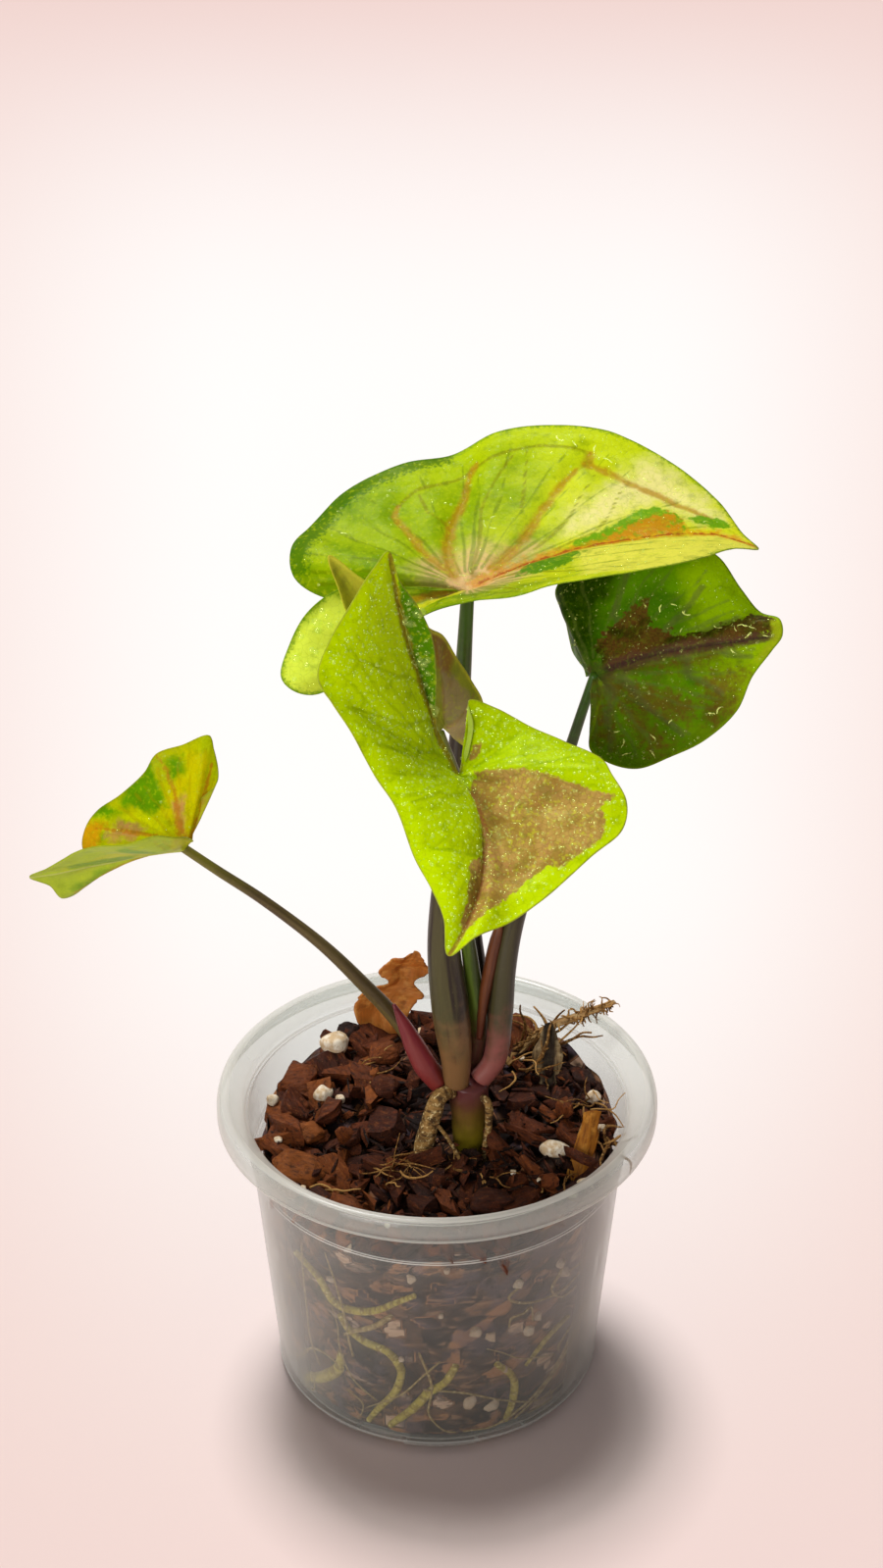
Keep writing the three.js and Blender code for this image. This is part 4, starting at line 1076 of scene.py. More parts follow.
def stalk_material(name, base, light, tip, foot, streaks=0.55, gloss=0.38, reach=0.2):
    """A smooth stalk with long streaks. foot colours its first part, tip its last."""
    r = Recipe(name)
    grain = r.vector("grain")
    long = r.stretched(grain, 1, 1, 0.06)
    short = r.stretched(grain, 1, 1, 0.4)
    colour = r.tint(base, light, r.noise(3.4, 2, 0.5, long), 0.46, 0.6, streaks)
    colour = r.tint(colour, light, r.noise(1, 4, 0.6, long), 0.42, 0.66, 0.5 * streaks)
    along = r.math("ADD", r.field("along"), r.wobble(0.2, 4, 3))
    colour = r.tint(colour, tip, along, 0.75, 1, 0.8)
    colour = r.tint(colour, foot, along, reach, 0.2 * reach, 0.85)
    colour = r.tint(colour, light, r.noise(0.7, 2, 0.5, short), 0.62, 0.75, 0.4)
    skin = r.bump(r.noise(0.8, 3, 0.5, long), 0.12, 0.5)
    body = r.shader("Principled", Base_Color=colour, Roughness=gloss, Normal=skin, Specular_IOR_Level=0.34,
                    Coat_Weight=0.08, Coat_Roughness=0.15)
    return r.done(r.blend(0.06, body, r.shader("Translucent", Color=colour)))


# Each stalk: its path, its radii from foot to tip, and its base, light, tip and foot colours
PETIOLES = {
    "top": (
        [
            (4.7, -2.5, 85.4), (4.7, -2.5, 93), (3.2, -2, 108), (1.7, -2, 124), (1.8, -1.8, 136),
            (3.6, -0.5, 158), (5.6, 3, 188), (7, 5.9, 214.9),
        ],
        [3, 4.9, 4.1, 3.4, 2.9, 2.3, 1.9, 1.5], ("261c12", "5c5830", "4f7a18", "86603a"),
    ),
    "right": (
        [
            (10.8, -0.4, 85.4), (14.2, -0.1, 91), (15.6, 0.5, 104), (16.5, 1, 117), (18.6, 2, 130),
            (26.5, 2, 160), (32.6, 1.6, 184), (36.2, 3, 196.2),
        ],
        [2.7, 3.2, 2.8, 2.4, 2.1, 1.6, 1.3, 1.1], ("2c2716", "4f4a2c", "3f6a18", "92504a"),
    ),
    "left": (
        [
            (2.6, 1.4, 82), (-3.4, 2.6, 90), (-10.1, 3, 101), (-18, 2.6, 111.5), (-28, 2, 123.5),
            (-42, 1, 137), (-52, 0.2, 145.3), (-60, -0.2, 152),
        ],
        [1.6, 2.1, 1.9, 1.7, 1.45, 1.3, 1.2, 1.1], ("4a3c20", "6e6034", "6d6a1c", "5a2a24"),
    ),
    "front": (
        [
            (8.4, 3.8, 85.4), (10, 3, 100), (8.4, 1, 117), (6.6, -5, 136), (5.4, -17, 161),
            (5, -30, 181.5), (5, -35.6, 190.5),
        ],
        [2.5, 2.4, 1.9, 1.4, 1.25, 1.2, 1.1], ("33401a", "6f8a2c", "7f8c1c", "6b3a34"),
    ),
    "young": (
        [
            (11.4, 4.2, 85.4), (11.6, 5.4, 105), (9.6, 5.6, 122), (8.4, 2, 141), (7.2, -4, 158),
            (5, -9.5, 175), (0.9, -13.4, 189.8),
        ],
        [2, 1.9, 1.6, 1.2, 1.05, 1, 0.9], ("1f1a12", "3c3a20", "6f7a1c", "4a2424"),
    ),
}
for stalk_name, (path, radii, (base, light, tip, foot)) in PETIOLES.items():
    points, faces, fields = tube(path, radii)
    material = stalk_material(f"stalk_{stalk_name}", base, light, tip, foot)
    make(f"stalk_{stalk_name}", points, faces, material, [f"petiole_{stalk_name}"], fields)

STEM_AT = np.array([8, -1])
STEM_HEIGHTS = [56, 62, 68, 73, 78, 82, 84.9]
STEM_RADII = [3.4, 3.7, 3.9, 4.3, 4.4, 4.95, 4.6]
stem_path = [(*STEM_AT, z) for z in STEM_HEIGHTS]
points, faces, fields = tube(stem_path, STEM_RADII, 40, 0.5, wobble=0.05, seed=4, closed_ends=0.02)
make("stem_looks", points, faces, stalk_material("stem", "4c241e", "663430", "5c2a2a", "9a8c10", reach=1.0),
     ["stem"], fields)

CROWN_PIECES = {
    "cataphyll": (
        [(-10.6, -0.6, 107.6), (-8, -1.2, 102), (-5.2, -2, 95.5), (-2.4, -3, 90), (0.2, -3.6, 85.6)],
        [0.4, 1.7, 2.6, 3, 2], ("742028", "843a34", "7a2a24", "5a1a22"), "sheath_crimson", 0.02,
    ),
    "sheath_right": (
        [(10.4, 0.2, 97), (11.2, 0.2, 106), (12.6, 0.4, 116), (14.4, 1, 126), (16.2, 1.4, 134)],
        [0.7, 1.3, 1.6, 1.6, 0.5], ("4e2612", "7a4420", "7a4a24", "5a2a1c"), "dry_tissue", 0.08,
    ),
}
for piece_name, (path, radii, (base, light, tip, foot), slot, wobble) in CROWN_PIECES.items():
    points, faces, fields = tube(path, radii, wobble=wobble, seed=8)
    make(f"{piece_name}_looks", points, faces, stalk_material(piece_name, base, light, tip, foot),
         [piece_name], fields)


def root_material(name, base, dark, light):
    """A dry knobbly root, a living one or a fibre, with rings and scars. Each fibre has its own tone."""
    r = Recipe(name)
    grain = r.vector("grain")
    rings = r.noise(1.6, 3, 0.6, r.stretched(grain, 0.5, 0.5, 1.4))
    colour = r.tint(dark, base, rings, 0.36, 0.6)
    colour = r.tint(colour, light, r.noise(0.9, 4, 0.6, grain), 0.52, 0.72)
    if name == "fibre":
        colour = r.tint(colour, "c89858", r.field("tone"), 0.45, 1, 0.7)
    relief = r.math("ADD", rings, r.noise(0.5, 3, 0.6, grain))
    surface = r.shader(
        "Principled", Base_Color=colour, Roughness=0.78, Normal=r.bump(relief, 0.35, 0.8),
        Specular_IOR_Level=0.15)
    return r.done(surface)


dry_root = root_material("dry_root", "94703e", "46301a", "dcc28a")
ROOTS = {
    "aerial_root": (
        [
            (3.6, -4, 84), (0.6, -7, 84.5), (-1.2, -8.6, 80), (-2.8, -9.8, 74), (-4, -11.4, 67.5),
            (-4.6, -12.6, 62),
        ],
        [1.6, 2.1, 2.3, 2.4, 2.3, 2.1], 0.14,
    ),
    "side_root": (
        [(10, -3.6, 82.5), (12.4, -5.6, 82), (12.9, -6.8, 77), (12.2, -7, 71), (11.6, -7.2, 64)],
        [0.9, 1, 0.85, 0.75, 0.7], 0.18,
    ),
    "thread_root": (
        [(-1, -9.4, 79), (1.6, -11.4, 77), (4.6, -12.6, 72), (7, -13, 66), (7.8, -13.2, 61)],
        [0.5, 0.5, 0.5, 0.45, 0.4], 0.15,
    ),
}
for root_name, (path, radii, wobble) in ROOTS.items():
    points, faces, fields = tube(path, radii, 24, 0.35, wobble=wobble, seed=12)
    make(f"{root_name}_looks", points, faces, dry_root, [root_name], fields)

# The tub's wall, from its foot to its step
WALL = 0.8
FOOT_RADIUS, FOOT_HEIGHT = 41.5, 3.6
STEP_RADIUS, STEP_HEIGHT = 46.7, 64.6


def wall_radius(z):
    return FOOT_RADIUS + (STEP_RADIUS - FOOT_RADIUS) * (z - FOOT_HEIGHT) / (STEP_HEIGHT - FOOT_HEIGHT)


def wall_path(run, inset):
    """A path inside the wall, from (angle from the front, height) pairs."""
    path = []
    for angle, z in run:
        reach, turn = wall_radius(z) - inset, math.radians(angle)
        path.append((reach * math.sin(turn), -reach * math.cos(turn), z))
    return path


# Roots that show through the wall: (angle, height) pairs, radius
WALL_ROOTS = [
    ([(-54, 51), (-43, 48.5), (-36, 42.5), (-28, 42.5), (-20, 45), (-13, 49), (-7, 52)], 0.95),
    (
        [
            (-34.5, 39), (-31, 35), (-24, 32.6), (-17, 31.5), (-12.6, 26), (-14.5, 18.5), (-22, 10),
            (-26, 5),
        ],
        1.05,
    ),
    ([(-58, 6), (-46, 12.5), (-38, 19), (-36, 25)], 1.7),
    ([(6.5, 28), (3, 22.6), (-3, 18.6), (-8, 13.2), (-17.5, 5.2)], 1.15),
    ([(21, 26.4), (28, 19.4), (28.4, 11), (26, 5)], 1), ([(52, 31), (41, 28.4), (32.5, 22.5)], 0.6),
]
ROOT_CLEAR = 0.55
wall_root_material = root_material("wall_root", "b09a3c", "866c26", "dcc880")
for number, (run, radius) in enumerate(WALL_ROOTS, 1):
    path = wall_path(run, radius + WALL + ROOT_CLEAR)
    radii = [0.8 * radius, radius, radius, 0.7 * radius]
    points, faces, fields = tube(path, radii, 20, 0.6, wobble=0.1, seed=number)
    node = f"wall_root_{number}"
    make(f"{node}_looks", points, faces, wall_root_material, [node], fields)


# Bark, perlite and the mix

SOIL_LEVEL, SOIL_BACK, SOIL_RIGHT, SOIL_BUMP = 69.5, 0.12, 0.05, 1.1
LEAST_FACE_HEIGHT = 0.05


def soil_top(x, y):
    """Height of the surface of the mix: it rises to the back and right, in low waves."""
    waves = np.sin(x * 0.19 + 1.3) * np.cos(y * 0.17) + 0.5 * np.sin((x - y) * 0.31)
    return SOIL_LEVEL + SOIL_BACK * y + SOIL_RIGHT * x + SOIL_BUMP * waves


def ball(subdivisions):
    mesh = bmesh.new()
    bmesh.ops.create_icosphere(mesh, subdivisions=subdivisions, radius=1)
    points = np.array([v.co[:] for v in mesh.verts])
    faces = np.array([[v.index for v in f.verts] for f in mesh.faces])
    mesh.free()
    return unit(points), faces


def faceted(directions, half, normals, heights, sharpness):
    """Points where directions leave the softened solid that the planes bound."""
    rays = unit(directions * half)
    lean = np.maximum(rays @ normals.T / heights, 1e-6)
    return rays / (np.sum(lean ** sharpness, 1) ** (1 / sharpness))[:, None]


def weather(points, axes, amount, layers, seed):
    """Roughens a chip. Its layers run along its first two axes."""
    local = points @ axes.T
    flakes = rough(local / np.array([3.2, 2.2, layers]), 1, seed, 3)
    pits = rough(local, 1.4, seed + 7, 2)
    return points * (1 + amount * flakes + 0.35 * amount * pits)[:, None], local


def node_planes(name):
    """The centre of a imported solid, its faces' normals and distances, its long axes and its half size."""
    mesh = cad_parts[name].data
    corners = np.array([v.co[:] for v in mesh.vertices]) / MM
    centre = (corners.min(0) + corners.max(0)) / 2
    normals = np.array([p.normal[:] for p in mesh.polygons])
    middles = np.array([p.center[:] for p in mesh.polygons]) / MM
    heights = np.sum(normals * (middles - centre), axis=1)
    keep = heights > LEAST_FACE_HEIGHT
    spread = corners - corners.mean(0)
    _, _, axes = np.linalg.svd(spread, full_matrices=False)
    half = (corners.max(0) - corners.min(0)) / 2
    return centre, normals[keep], heights[keep], axes, half


def bark_material(tones):
    """Broken bark. Each chip has its own tone, and its grain lies in layers."""
    r = Recipe("bark")
    grain = r.vector("grain")
    tone = r.field("tone")
    ramp = r.put("ShaderNodeValToRGB", {0: tone})
    stops = ramp.color_ramp.elements
    while len(stops) < len(tones):
        stops.new(0.5)
    for k, code in enumerate(tones):
        stops[k].position = k / (len(tones) - 1)
        stops[k].color = rgba(code)
    colour = ramp.outputs[0]
    layered = r.noise(1, 5, 0.7, r.stretched(grain, 0.3, 0.9, 1.6))
    colour = r.tint(colour, "140b08", layered, 0.5, 0.34, 0.75)
    lit = r.math("MULTIPLY", r.step(layered, 0.54, 0.72), r.step(tone, 0, 0.9, 0.1, 0.65))
    colour = r.mix(lit, colour, "a8602c")
    colour = r.tint(colour, "7a3a1c", r.noise(2.4, 3, 0.6, grain), 0.55, 0.75, 0.45)
    colour = r.tint(colour, "b9834e", r.noise(0.6, 2, 0.5, grain), 0.68, 0.76, 0.35)
    relief = r.math("ADD", layered, r.math("MULTIPLY", r.noise(0.5, 4, 0.6, grain), 0.5))
    rough_part = r.step(r.noise(3, 2), 0.4, 0.62, 0.5, 0.85)
    surface = r.shader(
        "Principled", Base_Color=colour, Roughness=rough_part, Normal=r.bump(relief, 0.7, 0.9),
        Specular_IOR_Level=0.16)
    return r.done(surface)


bark = bark_material(["120907", "241009", "3a1a0f", "542712", "6e3818", "854a1e", "a86a30"])
# How light each named piece of bark is
NAMED_BARK = {
    "disc": 0.6, "block_left": 0.6, "block_tan": 0.78, "grained": 0.76, "stick": 0.66, "centre_left": 0.4,
    "back": 0.62, "back_right": 0.35, "dark_back": 0.12, "dark_right": 0.2, "red_right": 0.6, "front": 0.35,
    "front_slip": 0.6, "front_left": 0.66,
}
fine_ball = ball(4)
for number, (place, tone) in enumerate(NAMED_BARK.items()):
    node = f"bark_{place}"
    centre, normals, heights, axes, half = node_planes(node)
    shape = faceted(fine_ball[0], half, normals, heights, 50)
    shape, local = weather(shape, axes, 0.13, 0.5, 40 + number)
    make(f"{node}_looks", shape + centre, fine_ball[1], bark, [node],
         {"grain": local * MM, "tone": np.full(len(shape), tone)})


def perlite_material():
    r = Recipe("perlite")
    grain = r.vector("grain")
    colour = r.tint("c2a682", "e6dac6", r.noise(2.2, 4, 0.6, grain), 0.38, 0.62)
    pits = r.step(r.cells(0.9, "F1", grain), 0.05, 0.4)
    # Darker in the pits: painted shade in the pores
    colour = r.tint(colour, "8f7557", pits, 0.5, 0, 0.35)
    colour = r.tint(colour, "9c7c58", r.noise(3, 3, 0.6, grain), 0.6, 0.75, 0.5)
    # Crumbs against the wall are mixed towards a dull brown: painted shade inside the tub's wall
    colour = r.mix(r.math("MULTIPLY", r.field("dirt"), 0.7), colour, "a07c62")
    relief = r.math("ADD", pits, r.noise(0.5, 3, 0.6, grain))
    surface = r.shader(
        "Principled", Base_Color=colour, Roughness=0.85, Normal=r.bump(relief, 0.2, 0.55),
        Specular_IOR_Level=0.2)
    return r.done(surface)


perlite = perlite_material()
PERLITE = [f"perlite_{place}" for place in ("large", "small", "right", "grey", "edge", "rim")]
for number, node in enumerate(PERLITE):
    centre, normals, heights, _, half = node_planes(node)
    shape = faceted(fine_ball[0], half, normals, heights, 9)
    bumps = 0.16 * rough(shape, 3, 60 + number, 2) + 0.03 * rough(shape, 0.9, 70 + number, 2)
    shape = shape * (1 + bumps)[:, None]
    make(f"{node}_looks", shape + centre, fine_ball[1], perlite, [node], {"grain": shape * MM})


FREE_PLANES = 11


def random_axes(random, tilt):
    """Three square axes: a chip's length and width lie nearly level, tipped by tilt."""
    turn = random.random() * 2 * math.pi
    first = unit(np.array([math.cos(turn), math.sin(turn), tilt * random.normal()]))
    up = unit(np.array([0.5 * tilt * random.normal(), 0.5 * tilt * random.normal(), 1]))
    second = unit(np.cross(up, first))
    return np.stack([first, second, np.cross(first, second)])


def random_planes(random, half):
    """Planes that bound a crumb: some at random, and one to each side of its box."""
    normals = unit(random.normal(size=(FREE_PLANES, 3)))
    normals = np.vstack([normals, np.eye(3), -np.eye(3)])
    heights = np.linalg.norm(normals * half, axis=1)
    heights[:FREE_PLANES] *= 0.72 + 0.34 * random.random(FREE_PLANES)
    heights[FREE_PLANES:] *= 0.85 + 0.15 * random.random(6)
    return normals, heights


def plate_corners(random, half):
    """Corners of a broken plate: two irregular outlines, one over the other."""
    count = int(random.integers(5, 8))
    turn = np.sort(random.random(count)) * 2 * math.pi
    corners = []
    for side in (1, -1):
        reach = 0.78 + 0.3 * random.random(count)
        height = side * (0.7 + 0.4 * random.random(count))
        shift = turn + 0.3 * random.normal(size=count)
        corners.append(np.stack([np.cos(shift) * reach, np.sin(shift) * reach, height], 1))
    return np.vstack(corners) * half


def broken(corners, cuts):
    """The hull of some corners, cut into small faces for roughening."""
    body = bmesh.new()
    for corner in corners:
        body.verts.new(corner)
    bmesh.ops.convex_hull(body, input=body.verts)
    bmesh.ops.delete(body, geom=[v for v in body.verts if not v.link_faces], context="VERTS")
    bmesh.ops.triangulate(body, faces=body.faces)
    bmesh.ops.subdivide_edges(body, edges=body.edges, cuts=cuts, use_grid_fill=True)
    bmesh.ops.triangulate(body, faces=body.faces)
    body.verts.index_update()
    points = np.array([v.co[:] for v in body.verts])
    faces = np.array([[v.index for v in f.verts] for f in body.faces])
    body.free()
    return points, faces


def loose_chip(batch, random, at, half, tone, tilt, cuts=2):
    axes = random_axes(random, tilt)
    shape, faces = broken(plate_corners(random, half), cuts)
    seed = int(random.integers(1, 9999))
    layer = rough(shape / np.array([6, 6, 0.7]), 1, seed, 2)
    spread = 1 + 0.16 * layer[:, None] * [1, 1, 0]
    lump = 0.22 * rough(shape, 1.7, seed + 5, 2)[:, None] * unit(shape)
    batch.add((shape * spread + lump) @ axes + at, faces, grain=shape * MM, tone=tone)


random = np.random.default_rng(7)
loose = Batch()
BED_RADIUS = 45
CHIP_COUNT = 280
SHRED_COUNT = 460
SHARP_EDGE = 32
GOLDEN = 3 - math.sqrt(5)
# Random sizes are (least, how much more, power). tone is lighter to the left and darker in the middle.
CHIP = {
    "length": (2.2, 6.2, 2), "longer_left": 1.4, "width": (0.5, 0.4), "thickness": (0.16, 0.2),
    "splinters": 0.34, "splinter_length": 1.25, "splinter_width": (0.24, 0.12), "lift": (-1.6, 2.2),
    "tone": 0.15, "tone_left": 0.2, "tone_drawn": (0.5, 1.3), "tone_middle": 0.3, "tilt": 0.4, "reach": 0.8,
    "stem_gap": 5, "stem_gap_share": 0.6,
}
# Most shreds are drawn dark: partly dark bark, partly painted shade among the chips
SHRED = {
    "length": (1.2, 2.2), "width": (0.25, 0.3), "thickness": (0.12, 0.2), "lift": 0.6, "more_lift": 1.4,
    "tone": (0.06, 0.7, 2.2), "tilt": 0.7, "edge_gap": 3, "stem_gap": 7,
}


def from_stem(x, y):
    return math.hypot(x - STEM_AT[0], y - STEM_AT[1])


for number in range(CHIP_COUNT):
    turn = number * math.pi * GOLDEN
    reach = BED_RADIUS * math.sqrt((number + 0.5) / CHIP_COUNT)
    x, y = reach * math.cos(turn) + random.normal(), reach * math.sin(turn) + random.normal()
    length = drawn(random, *CHIP["length"]) + CHIP["longer_left"] * smooth(0, -40, x)
    splinter = random.random() < CHIP["splinters"]
    wide = drawn(random, *CHIP["splinter_width" if splinter else "width"])
    long = CHIP["splinter_length"] if splinter else 1
    half = length * np.array([long, wide, drawn(random, *CHIP["thickness"])])
    far = math.hypot(x, y)
    most = BED_RADIUS - length * CHIP["reach"]
    if far > most:
        x, y = most * x / far, most * y / far
    if from_stem(x, y) < CHIP["stem_gap"] + CHIP["stem_gap_share"] * length:
        continue
    lift = drawn(random, *CHIP["lift"])
    left = smooth(10, -40, x)
    middle = smooth(24, 6, math.hypot(x - 4, y - 4))
    tone = drawn(random, CHIP["tone"] + CHIP["tone_left"] * left, *CHIP["tone_drawn"])
    tone = np.clip(tone - CHIP["tone_middle"] * middle, 0, 1)
    loose_chip(loose, random, np.array([x, y, soil_top(x, y) + lift]), half, tone, CHIP["tilt"])
for _ in range(SHRED_COUNT):
    reach = (BED_RADIUS - SHRED["edge_gap"]) * math.sqrt(random.random())
    turn = 2 * math.pi * random.random()
    x, y = reach * math.cos(turn), reach * math.sin(turn)
    half = np.array([drawn(random, *SHRED[key]) for key in ("length", "width", "thickness")])
    at = np.array([x, y, drawn(random, soil_top(x, y) + SHRED["lift"], SHRED["more_lift"])])
    if from_stem(x, y) > SHRED["stem_gap"]:
        loose_chip(loose, random, at, half, drawn(random, *SHRED["tone"]), SHRED["tilt"], 1)
loose.make("loose_bark", bark, "bark", sharp=SHARP_EDGE)

# Small crumbs of perlite between the chips: place, width
CRUMBS = [
    (-24.7, 10, 3), (-40, -4, 2.4), (-28, -27, 2.6), (18.7, -18.9, 1.6), (25, -22, 1.8), (33, -26, 2.4),
    (22, 22, 2), (-4, 34, 2.2), (6, -33, 1.6), (41, -5, 2.6), (-12, -34, 1.8), (-33, -20, 1.8),
]
CRUMB_LIFT = 1.6
# Crumbs that lie against the inside of the wall: angle from the front, height, width
WALL_CRUMBS = [
    (-8, 57.4, 2.6), (27.4, 51.6, 3.2), (47, 47.6, 4.2), (44, 52, 2.4), (13, 38.7, 3.4), (18, 36.4, 2.8),
    (33, 34, 4), (36, 38, 2.2), (12, 14.5, 4.6), (20, 11.5, 4.2), (-29.4, 62.6, 2.6), (3, 60.4, 1.8),
    (64, 28.4, 2.2), (1.4, 45.7, 1.6), (-37, 50, 1.8), (24, 24, 2), (-12, 30, 1.6), (90, 40, 3.4),
    (118, 22, 4), (140, 55, 2.8), (165, 34, 3.6), (195, 14, 4.2), (220, 48, 3), (250, 30, 3.8),
    (275, 54, 2.6),
]
CRUMB_DEPTH = 0.42
CRUMB_GAP = 0.6
CRUMB_EDGE = 8
# How strongly crumbs against the wall are painted darker: painted shade
CRUMB_PAINTED_SHADE = (0.7, 0.5)
small_ball = ball(3)


def crumb_shape(width, parts, lumps, size, octaves, seed):
    """A small crumb of perlite about its own centre."""
    half = width / 2 * np.array(parts)
    shape = faceted(small_ball[0], half, *random_planes(random, half), CRUMB_EDGE)
    return shape * (1 + lumps * rough(shape, size, seed, octaves))[:, None]


crumbs = Batch()
for number, (x, y, width) in enumerate(CRUMBS):
    shape = crumb_shape(width, (1, 0.85, 0.8), 0.12, 1.1, 2, number)
    crumbs.add(shape + [x, y, soil_top(x, y) + CRUMB_LIFT], small_ball[1], grain=shape * MM, dirt=0)
for number, (angle, z, width) in enumerate(WALL_CRUMBS, len(CRUMBS)):
    shape = crumb_shape(width, (1, 0.9, 0.95), 0.34, 1.3, 3, number)
    at = wall_path([(angle, z)], WALL + CRUMB_GAP + CRUMB_DEPTH * width)[0]
    crumbs.add(shape + at, small_ball[1], grain=shape * MM, dirt=drawn(random, *CRUMB_PAINTED_SHADE))
crumbs.make("perlite_crumbs", perlite, "perlite")


# Thin dry pieces: rows of a left, middle and right point, half the thickness, depth of the creases, slot,
# and the base, dark and light colours

FLAKES = {
    "dry_leaf": (
        [
            [(-19, 36, 71.4), (-15, 37.6, 70.8), (-10, 38.4, 71.6)],
            [(-21.5, 38, 80.8), (-15, 41, 79.6), (-6.6, 40.4, 79.8)],
            [(-19.8, 40.6, 83.2), (-13, 42.6, 82.6), (-3.8, 41.6, 82)],
            [(-12.8, 42, 85.6), (-9.6, 44, 85.8), (-6.4, 42.8, 85)],
            [(-15.2, 43, 88.2), (-9.2, 45.2, 88.6), (-2.4, 44, 88)],
            [(-12, 43.8, 91.4), (-7.6, 45.4, 91), (-3.4, 44.4, 91.2)],
            [(-7, 44.6, 93.2), (-5.8, 45.4, 93.8), (-4.6, 44.8, 93.4)],
        ],
        0.28, 1.5, "dry_tissue", ("c67a32", "7c4218", "e0a050"),
    ),
    "dry_leaf_right": (
        [
            [(31.4, -17.6, 68), (34, -18.4, 67.4), (36.8, -17.6, 68)],
            [(34.4, -11.8, 74), (36.8, -12.4, 74.6), (39.4, -11.6, 74)],
            [(36.4, -6, 79), (38.6, -6.4, 80), (40.8, -6, 79.4)],
        ],
        0.28, 0.5, "dry_tissue", ("b4701e", "7a4412", "d8983c"),
    ),
    "husk": (
        [
            [(27.6, 15, 70.6), (28.6, 14.4, 70), (29.6, 15, 70.6)],
            [(25.2, 17.4, 74), (28.6, 17, 74), (31.6, 17.2, 74)],
            [(24.6, 19.6, 78), (28.6, 19, 78.2), (32.2, 19.4, 78)],
            [(26, 22, 82), (28.8, 21.6, 82), (31.2, 21.8, 82)],
            [(28, 24, 85), (28.8, 23.8, 85.6), (29.6, 24, 85)],
        ],
        0.3, 0.9, "straw", ("a88a60", "4a3826", "d6bc8e"),
    ),
    "fibre_strip": (
        [
            [(17.4, 26.8, 71.6), (18, 25.4, 71.4), (18.6, 24, 71.6)],
            [(26.4, 28.6, 80.4), (27, 27.2, 80.8), (27.6, 25.8, 80.4)],
            [(37, 27.4, 86.4), (37.4, 26, 86.8), (37.8, 24.8, 86.4)],
            [(45.4, 26.2, 90.8), (45.7, 25.6, 91), (46, 25, 90.8)],
        ],
        0.3, 0.35, "straw", ("c0945a", "6e4a26", "e4c68e"),
    ),
}
FLAKE_ALONG, FLAKE_ACROSS = 48, 22
TRIM = {"apart": 6, "size": 2.2, "amount": 0.2, "least": 0.6, "most": 1.04}
CREASE_SIZE = 4
ROW_LENGTH = 7


def dry_material(name, base, dark, light):
    r = Recipe(name)
    grain = r.vector("grain")
    lines = r.noise(1.3, 4, 0.6, r.stretched(grain, 1.6, 0.2, 1))
    fibrous = 0.25 if name == "dry_leaf" else 0.8
    colour = r.tint(base, dark, lines, 0.56, 0.36, fibrous)
    colour = r.tint(colour, light, r.noise(3.4, 4, 0.6, grain), 0.46, 0.66, 0.8)
    colour = r.tint(colour, dark, r.noise(5, 3, 0.6, grain), 0.46, 0.3, 0.6)
    if name == "husk":
        side = r.math("ABSOLUTE", r.put("ShaderNodeSeparateXYZ", {0: grain}).outputs[0])
        colour = r.tint(colour, "2a1f1a", side, 2.2 * MM, 1.2 * MM, 0.9)
    skin = r.bump(lines, 0.4, fibrous)
    body = r.shader("Principled", Base_Color=colour, Roughness=0.6, Normal=skin, Specular_IOR_Level=0.25)
    return r.done(r.blend(0.4, body, r.shader("Translucent", Color=colour, Normal=skin)))


def sheet_normals(sheet):
    return unit(np.cross(np.gradient(sheet, axis=0), np.gradient(sheet, axis=1)))


def strip(rows, half, crumple, seed):
    """A thin creased sheet with ragged sides. Returns its points, faces and grain."""
    index = np.linspace(0, len(rows) - 1, FLAKE_ALONG + 1)
    left, middle, right = (through([row[k] for row in rows], index) for k in range(3))
    share = np.linspace(0, 2, FLAKE_ACROSS + 1)
    sheet = np.stack([through([a, b, c], share) for a, b, c in zip(left, middle, right)])
    along = np.stack([index * TRIM["apart"], index * 0, index * 0], 1)
    trim = np.clip(1 + TRIM["amount"] * rough(along, TRIM["size"], seed, 3), TRIM["least"], TRIM["most"])
    sheet = middle[:, None] + (sheet - middle[:, None]) * trim[:, None, None]
    sheet = sheet + sheet_normals(sheet) * (crumple * rough(sheet, CREASE_SIZE, seed + 3, 3))[..., None]
    out = sheet_normals(sheet)
    rows_count, columns = sheet.shape[:2]
    total = rows_count * columns
    points = np.vstack([(sheet + out * half).reshape(-1, 3), (sheet - out * half).reshape(-1, 3)])
    quads = grid_faces(rows_count, columns)
    ids = np.arange(total).reshape(rows_count, columns)
    border = np.concatenate([ids[0, :-1], ids[:-1, -1], ids[-1, :0:-1], ids[:0:-1, 0]])
    wall = np.stack([np.roll(border, -1), border, border + total, np.roll(border, -1) + total], 1)
    width = np.linalg.norm(sheet - middle[:, None], axis=2) * np.sign(share - 1)[None]
    reach = np.repeat(index[:, None] * ROW_LENGTH, columns, 1)
    grain = np.stack([width, reach, width * 0], 2).reshape(-1, 3) * MM
    return points, np.vstack([quads, quads[:, ::-1] + total, wall]), np.vstack([grain, grain])


for number, (node, (rows, half, crumple, slot, tones)) in enumerate(FLAKES.items()):
    points, faces, grain = strip(rows, half, crumple, 80 + number)
    make(f"{node}_looks", points, faces, dry_material(node, *tones), [node], {"grain": grain})


# Loose fibres

FIBRE_LIFT = 1.2
FIBRE_START = 1.5
FIBRE_CURL = 0.3
FIBRE_SPREAD = 2.2
FIBRE_STEPS = 6
# Share of the length and thickness in the table
FIBRE_SHARE = (0.6, 0.6)


def fibre(batch, path, radius, tone=0.5, sides=6):
    points, faces, fields = tube(path, [radius, radius, 0.5 * radius], sides, 0.9, wobble=0.2, seed=3)
    batch.add(points, faces, grain=fields["grain"], tone=tone)


